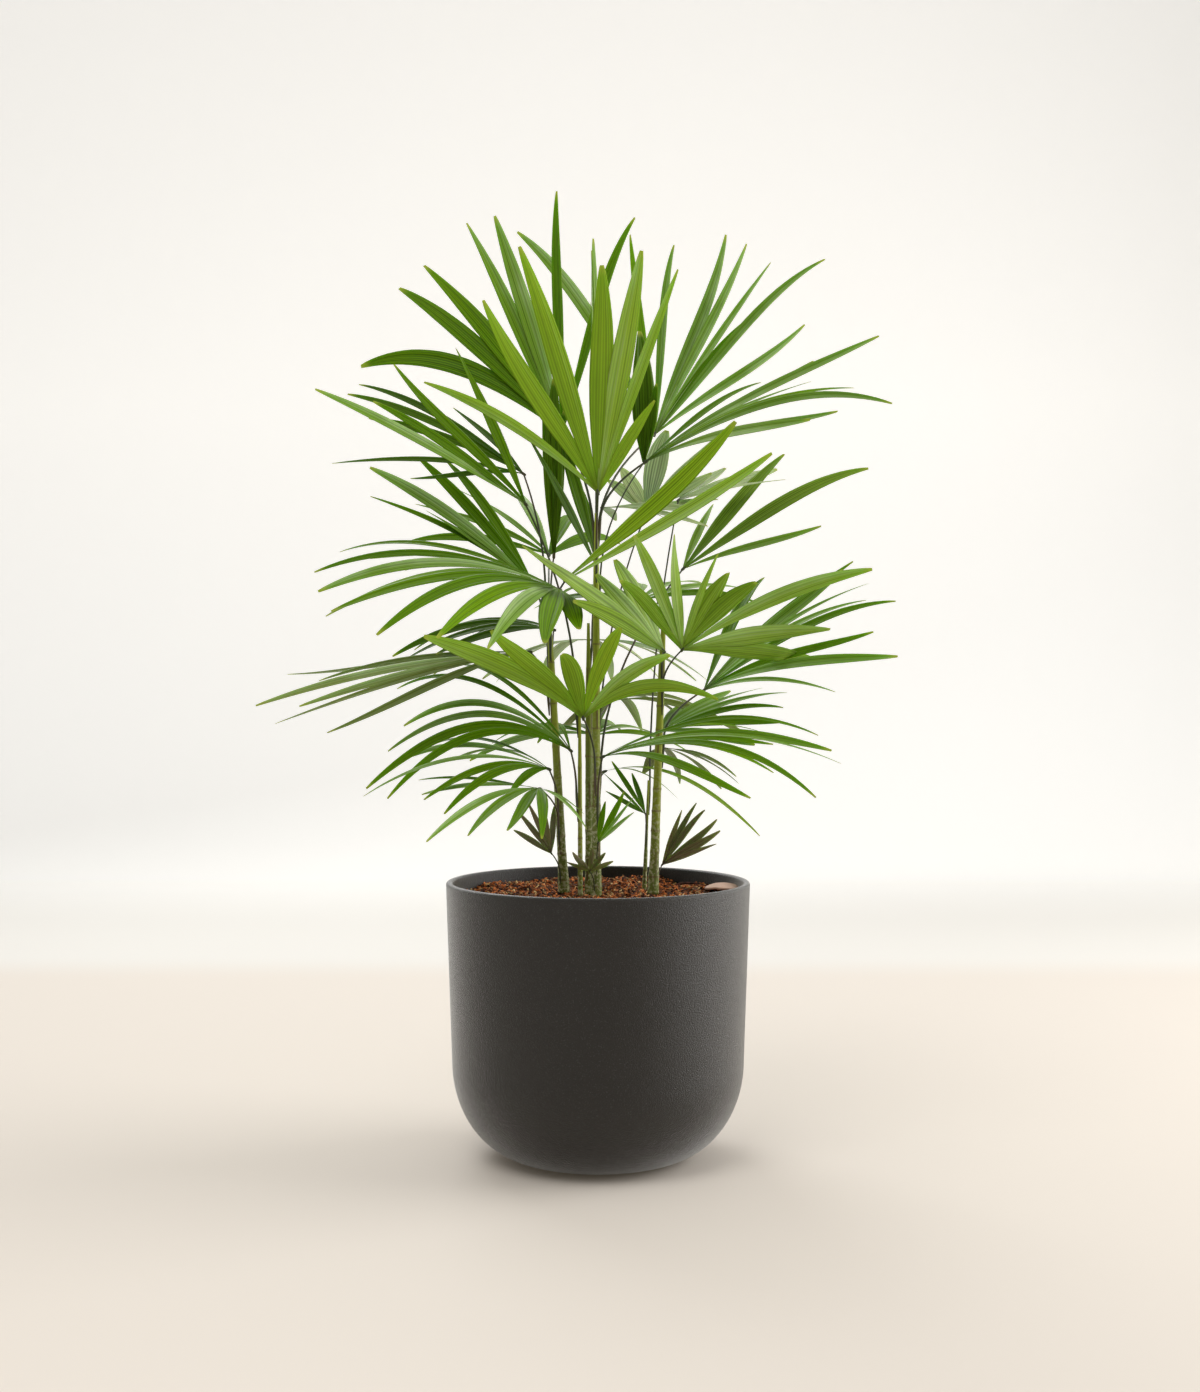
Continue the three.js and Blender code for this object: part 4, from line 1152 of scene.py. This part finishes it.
# Fronds that are fresher or deeper in colour than the others of their tone.
TINT_SHIFTS = {"frond_right_front": -0.4, "frond_front_low": -0.1, "frond_top_front": 0.2}
LEAF_CLOUDS, PAINTED_GLEAM_STREAKS = 14, 9
VEIN_RATE = 26  # radians of a vein's wave to half the finger's width
LEAF_RELIEF = 0.2 * MM
LEAF_GLOW = (0.5, 1.0, 0.2)
LEAF_GLOW_DEPTH = 1.2 * MM


def smooth_outline(shares):
    """The outline's half width at each share, without corners."""
    at, wide = np.array(FINGER_OUTLINE).T
    fine = np.linspace(0, 1, OUTLINE_POINTS)
    values = np.interp(fine, at, wide)
    window = np.hanning(OUTLINE_WINDOW)
    padded = np.pad(values, OUTLINE_WINDOW // 2, mode="edge")
    rounded = np.convolve(padded, window / window.sum(), "valid")
    return np.interp(shares, fine, np.minimum(rounded, values + OUTLINE_WIDER))


def finger_stations(frond, order, finger, along, length, sag, stations):
    """Points down the middle of a finger, the way its face looks there, and its half widths."""
    face = fan_axes(frond)[1]
    share = 1 - (1 - np.linspace(0, 1, stations)) ** TIP_CLOSER
    column = share[:, None]
    sideways = unit(np.cross(face, along))
    belly = 4 * column * (1 - column)
    bend = BEND * chance(order, finger, BENDING)
    arch = ARCH * chance(order, finger, ARCHING)
    hub = np.array(frond["hub"], float)
    points = hub + along * length * column - UP * length * sag * column**2
    points = points + length * belly * column * (sideways * bend + UP * arch)
    tangent = unit(np.gradient(points, share, axis=0))
    light = TO_LIGHT * np.sign(np.dot(face, TO_LIGHT))
    face = unit(face + light * TURNED_TO_LIGHT * np.clip(column / TURNED_BY, 0, 1) ** 1.5)
    across = unit(np.cross(face, tangent))
    upward = np.cross(tangent, across)
    lift = LAYER * (1 if finger % 2 else -1) * np.exp(-((column * LAYER_FADE) ** 2))
    points = points + upward * lift
    twist = math.radians(TWIST) * chance(order, finger, TWISTING) * column**1.5
    looks = np.array([rotated(u, t, float(a[0])) for u, t, a in zip(upward, tangent, twist)])
    breadth = 1 + BREADTH_RANGE * chance(order, finger, BREADTH)
    widest = frond["width"] / 2 * finger_shares(frond, order, finger)[2] * breadth
    return points, looks, smooth_outline(share) * widest


def finger_tree():
    """Sweeps a pleated, folded leaf section along lines that carry half_width and face."""
    growth = Growth("ribbed_fingers")
    ribs, depth, fold, thickness = growth.ask("Float", "Ribs", "Rib depth", "Fold", "Thickness")
    spans = growth.ask("Int", "Spans")
    line = growth.node("GeometryNodeMeshToCurve", sockets={"Mesh": growth.geometry()})
    line = growth.node("GeometryNodeSetCurveNormal", {"mode": "FREE"}, {
        "Curve": line, "Normal": growth.attribute("face", "FLOAT_VECTOR"),
    })
    line = growth.store(line, "along", growth.node("GeometryNodeSplineParameter"))
    count = spans * 2
    section = growth.node("GeometryNodeCurvePrimitiveCircle", sockets={"Resolution": count, "Radius": 1.0})
    turn = growth.node("GeometryNodeInputIndex") / count
    across = 1 - 4 * abs(turn - 0.5)
    side = 1 - 2 * (turn > 0.5)
    pleat = 1 - abs(2 * ((across + 1) * 0.5 * ribs).fraction() - 1)
    skin = thickness * side * (1 - across * across).root()
    section = growth.store(section, "across", across)
    section = growth.store(section, "under", turn > 0.5)
    lift = skin + pleat * depth + abs(across) * fold
    section = growth.node("GeometryNodeSetPosition", sockets={
        "Geometry": section, "Position": growth.point(lift, across, 0.0),
    })
    blades = growth.node("GeometryNodeCurveToMesh", sockets={
        "Curve": line, "Profile Curve": section, "Scale": growth.attribute("half_width"), "Fill Caps": True,
    })
    return growth.finish(blades)


def painted_gleam_share(frond):
    """How much of a fan gets the window's painted gleam."""
    x, _, z = frond["hub"]
    if x < PAINTED_GLEAM_FROM:
        return 0.0
    return PAINTED_GLEAM_SHARE if z < PAINTED_GLEAM_HIGH else PAINTED_GLEAM_HIGH_SHARE


def leaf_finish(leaves, tone):
    """Satin leaf with fine parallel veins, a paler underside and a dry yellow tip; painted shade near the
    hub and in the pleats' folds, painted highlights on the pleats' crests, and the window's painted gleam.
    """
    colour = getattr(leaves, tone)
    finish = Finish(f"leaf_{tone}", Specular_IOR_Level=0.06, Subsurface_Weight=0.25,
                    Subsurface_Radius=LEAF_GLOW, Subsurface_Scale=LEAF_GLOW_DEPTH)
    along, across, under, tint = map(finish.attribute, ("along", "across", "under", "tint"))
    clouds = finish.noise(LEAF_CLOUDS)
    deep, fresh = scaled(colour, 0.36, 0.44, 0.5), scaled(colour, 1.95, 1.6, 1.5)
    # Random tint and clouds, and painted shade: darker towards the hub, paler towards the tip.
    body = finish.mix(0.62 * tint + 0.5 * (clouds - 0.5) + 0.25 * along, deep, fresh)
    # Painted highlight: the window's gleam as a paler colour in streaks, stronger on one side of the
    # midrib.
    if tone in PAINTED_GLEAM_TONES:
        painted_lit_side = 0.35 + 0.65 * finish.step(across, -0.15, 0.25)
        streak = 0.4 + 0.6 * finish.step(finish.noise(PAINTED_GLEAM_STREAKS), 0.35, 0.6)
        body = finish.mix(finish.attribute("gleam") * painted_lit_side * streak * 0.9, body, leaves.gleam)
    pleats = abs(2 * ((across + 1) * 0.5 * float(leaves.ribs)).fraction() - 1)
    veins = 0.5 + 0.5 * (across * VEIN_RATE).sine()
    body = finish.layered(body, (
        # Painted shade in the pleats' folds and painted highlights on their crests.
        (finish.step(pleats, 0.60, 1.0), 0.58, scaled(colour, 0.28)),
        (1 - finish.step(pleats, 0.0, 0.16), 0.4, scaled(colour, 1.8)),
        (veins, 0.40, scaled(colour, 1.9)),
        (1 - veins, 0.34, scaled(colour, 0.4)),
        (under, 0.35, [min(1, 1.15 * c + 0.03) for c in colour]),
        # Painted shade near the hub, where the fingers meet.
        (1 - finish.step(along, 0.02, 0.14), 0.5, scaled(colour, 0.34)),
        (finish.step(abs(across), 0.90, 1.0), 0.35, [(a + b) / 2 for a, b in zip(leaves.tip, colour)]),
    ))
    if tone != "brown":
        body = finish.mix(finish.step(along, 0.94, 1.0) * 0.8, body, leaves.tip)
    return finish.end(body, 0.30 + 0.12 * clouds + 0.1 * veins, veins * 0.5 + pleats * 0.2, LEAF_RELIEF)


def fan_lines(tone, stations):
    """The lines of all fingers of a tone, and the face, tint and painted gleam of their points."""
    lines, own = [], {"face": [], "tint": [], "gleam": []}
    for order, frond in enumerate(FRONDS):
        if frond["tone"] != tone:
            continue
        for finger, *line in fingers_of(order, frond):
            points, faces, half_widths = finger_stations(frond, order, finger, *line, stations)
            tint = 0.5 + 0.5 * chance(order, finger, TINTING) + TINT_SHIFTS.get(frond["name"], 0)
            gleam = 2 * (chance(order, finger, PAINTED_GLEAMS) + painted_gleam_share(frond)) - 0.3
            lines.append((points, half_widths))
            own["face"].extend(faces)
            own["tint"] += [tint] * len(points)
            own["gleam"] += [min(1.0, max(0.0, gleam))] * len(points)
    return lines, own


class LADYPALM_OT_fingers(bpy.types.Operator):
    """Grow the fans' ribbed fingers, one piece for each tone of leaf"""

    bl_idname = "lady_palm.fingers"
    bl_label = "Leaf fingers"

    def execute(self, context):
        leaves = context.scene.lady_palm_leaves
        tree = finger_tree()
        for tone in sorted({frond["tone"] for frond in FRONDS}):
            piece = linked(f"fingers_{tone}", line_mesh(tone, *fan_lines(tone, leaves.stations)))
            grown(piece, tree, {
                "Ribs": float(leaves.ribs),
                "Spans": leaves.ribs * ACROSS_PER_RIB,
                "Rib depth": leaves.rib_depth,
                "Fold": leaves.fold,
                "Thickness": leaves.thickness,
                "Material": leaf_finish(leaves, tone),
            })
            worn(piece, f"leaf_{tone}", *(frond["name"] for frond in FRONDS if frond["tone"] == tone))
        return {"FINISHED"}


# ---- Stage ------------------------------------------------------------------------------------

FRAME_PIXELS = (1200, 1392)
AXIS_PIXELS = (598, 686)  # where the pot's axis meets the horizon in the picture
FOCAL_PIXELS = 1771.6
SENSOR = 36.0
CAMERA_DISTANCE = 2.047
CAMERA_HEIGHT = 0.540
# The floor and the backdrop it turns up into, in metres.
SWEEP_HALF_WIDTH = 7.0
SWEEP_FRONT = -7.0
SWEEP_WALL = 4.6
SWEEP_RADIUS = 1.6
SWEEP_TOP = 6.0
SWEEP_STEPS = 24
SWEEP_BLEND = (1.2, 1.5)  # where the floor's colour goes over into the backdrop's
SWEEP_TURN = (1.9, 3.3)  # where the backdrop turns up and needs a paler colour and more glow
SWEEP_GLOW = (2.5, 4.8)  # where its glow grows to its full strength
# Shares of the backdrop's colour.
LEVEL_COLOUR, LEVEL_GLOW, LOW_GLOW = (0.79, 0.775, 0.75), 0.2, 0.40
SKY_SPAN = (-0.7, 0.5)  # of a direction's Y, over which the front sky goes over into the back sky
# Each light's place and size, in metres, and its colour.
LIGHTS = {
    "key": ((3.2, 0.35, 1.35), (2.8, 2.6), (1.0, 0.99, 0.975)),
    "fill": ((-0.9, -1.7, 3.0), (1.8, 1.8), (1.0, 0.985, 0.96)),
    "back": ((-1.0, 2.4, 2.2), (1.6, 1.6), (0.97, 0.99, 1.0)),
}


def sweep_mesh():
    """A floor that curves up into a wall far behind."""
    line = [(SWEEP_FRONT, 0.0)]
    for angle in np.linspace(-math.pi / 2, 0, SWEEP_STEPS + 1):
        line.append((
            SWEEP_WALL - SWEEP_RADIUS + SWEEP_RADIUS * math.cos(angle),
            SWEEP_RADIUS + SWEEP_RADIUS * math.sin(angle),
        ))
    line.append((SWEEP_WALL, SWEEP_TOP))
    points = [(x / MM, y / MM, z / MM) for y, z in line for x in (-SWEEP_HALF_WIDTH, SWEEP_HALF_WIDTH)]
    faces = [(2 * at, 2 * at + 1, 2 * at + 3, 2 * at + 2) for at in range(len(line) - 1)]
    return mesh_of("floor", points, faces)


def sweep_finish(stage):
    """The floor's colour, and the backdrop's, whose colour and glow make up for the uneven light."""
    finish = Finish("pale_floor", Specular_IOR_Level=0.1, Emission_Strength=stage.glow)
    place = finish.node("ShaderNodeSeparateXYZ", sockets={"Vector": finish.place()}, output="Y")
    beyond, turned_up, risen = (finish.step(place, *span) for span in (SWEEP_BLEND, SWEEP_TURN, SWEEP_GLOW))
    glow = finish.mix(risen, scaled(stage.wall, LOW_GLOW), stage.wall)
    glow = finish.mix(turned_up, scaled(stage.wall, LEVEL_GLOW), glow)
    finish.feed(finish.surface.inputs["Emission Color"], finish.mix(beyond, stage.floor_glow, glow))
    wall = finish.mix(turned_up, scaled(stage.wall, *LEVEL_COLOUR), stage.wall)
    return finish.end(finish.mix(beyond, stage.floor, wall), 0.8)


def sky_world(stage):
    """Even light that is dimmer from the front."""
    world = bpy.data.worlds.new("studio")
    world.use_nodes = True
    maker = Maker(world.node_tree)
    sky = world.node_tree.nodes["Background"]
    maker.feed(sky.inputs["Color"], stage.sky)
    direction = maker.node("ShaderNodeTexCoord", output="Generated")
    strength = maker.node("ShaderNodeMapRange", {"interpolation_type": "SMOOTHSTEP"}, {
        "Value": maker.node("ShaderNodeSeparateXYZ", sockets={"Vector": direction}, output="Y"),
        "From Min": SKY_SPAN[0], "From Max": SKY_SPAN[1],
        "To Min": stage.front_sky, "To Max": stage.back_sky,
    })
    maker.feed(sky.inputs["Strength"], strength)
    return world


def soft_light(name, power, place, size, colour):
    """A light as wide and high as its size says, that looks at the middle of the plant."""
    lamp = bpy.data.lights.new(name, "AREA")
    lamp.shape = "RECTANGLE"
    lamp.size, lamp.size_y = size
    lamp.energy = power
    lamp.color = colour
    holder = linked(name, lamp)
    holder.location = place
    target = Vector((0, 0, CAMERA_HEIGHT))
    holder.rotation_euler = (target - holder.location).to_track_quat("-Z", "Y").to_euler()


def frame_camera():
    """A level camera in front, shifted so that the pot's axis meets the horizon at AXIS_PIXELS."""
    lens = bpy.data.cameras.new("camera")
    lens.sensor_width = SENSOR
    lens.lens = FOCAL_PIXELS / max(FRAME_PIXELS) * SENSOR
    lens.shift_x = (FRAME_PIXELS[0] / 2 - AXIS_PIXELS[0]) / max(FRAME_PIXELS)
    lens.shift_y = (AXIS_PIXELS[1] - FRAME_PIXELS[1] / 2) / max(FRAME_PIXELS)
    camera = linked("camera", lens)
    camera.location = (0, -CAMERA_DISTANCE, CAMERA_HEIGHT)
    camera.rotation_euler = (math.pi / 2, 0, 0)
    return camera


class LADYPALM_OT_stage(bpy.types.Operator):
    """Set the floor, the lights and the camera"""

    bl_idname = "lady_palm.stage"
    bl_label = "Stage"

    def execute(self, context):
        stage = context.scene.lady_palm_stage
        floor = linked("floor", sweep_mesh())
        floor.data.materials.append(sweep_finish(stage))
        context.scene.world = sky_world(stage)
        for name, light in LIGHTS.items():
            soft_light(name, getattr(stage, f"{name}_power"), *light)
        context.scene.camera = frame_camera()
        context.scene.view_settings.view_transform = "Standard"
        return {"FINISHED"}


# ---- Panel and registration -------------------------------------------------------------------

OPERATORS = (
    LADYPALM_OT_stage,
    LADYPALM_OT_pot,
    LADYPALM_OT_soil,
    LADYPALM_OT_flake,
    LADYPALM_OT_canes,
    LADYPALM_OT_petioles,
    LADYPALM_OT_fingers,
)
SETTINGS = {
    "lady_palm_pot": LADYPALM_PG_pot,
    "lady_palm_soil": LADYPALM_PG_soil,
    "lady_palm_canes": LADYPALM_PG_canes,
    "lady_palm_leaves": LADYPALM_PG_leaves,
    "lady_palm_stage": LADYPALM_PG_stage,
}


class LADYPALM_PT_panel(bpy.types.Panel):
    """Lists the palm's settings and the operators that build it"""

    bl_idname = "LADYPALM_PT_panel"
    bl_label = "Lady Palm"
    bl_space_type = "VIEW_3D"
    bl_region_type = "UI"
    bl_category = "Lady Palm"

    def draw(self, context):
        for label, group in SETTINGS.items():
            box = self.layout.box()
            box.label(text=group.__doc__)
            for name in group.__annotations__:
                box.prop(getattr(context.scene, label), name)
        for operator in OPERATORS:
            self.layout.operator(operator.bl_idname)


CLASSES = (*SETTINGS.values(), *OPERATORS, LADYPALM_PT_panel)


def register():
    for kind in CLASSES:
        bpy.utils.register_class(kind)
    for label, group in SETTINGS.items():
        setattr(bpy.types.Scene, label, PointerProperty(type=group))


def unregister():
    for label in SETTINGS:
        delattr(bpy.types.Scene, label)
    for kind in reversed(CLASSES):
        bpy.utils.unregister_class(kind)


def main():
    register()
    bpy.ops.lady_palm.stage()
    bpy.ops.lady_palm.pot()
    bpy.ops.lady_palm.soil()
    bpy.ops.lady_palm.flake()
    bpy.ops.lady_palm.canes()
    bpy.ops.lady_palm.petioles()
    bpy.ops.lady_palm.fingers()


if __name__ == "__main__":
    main()
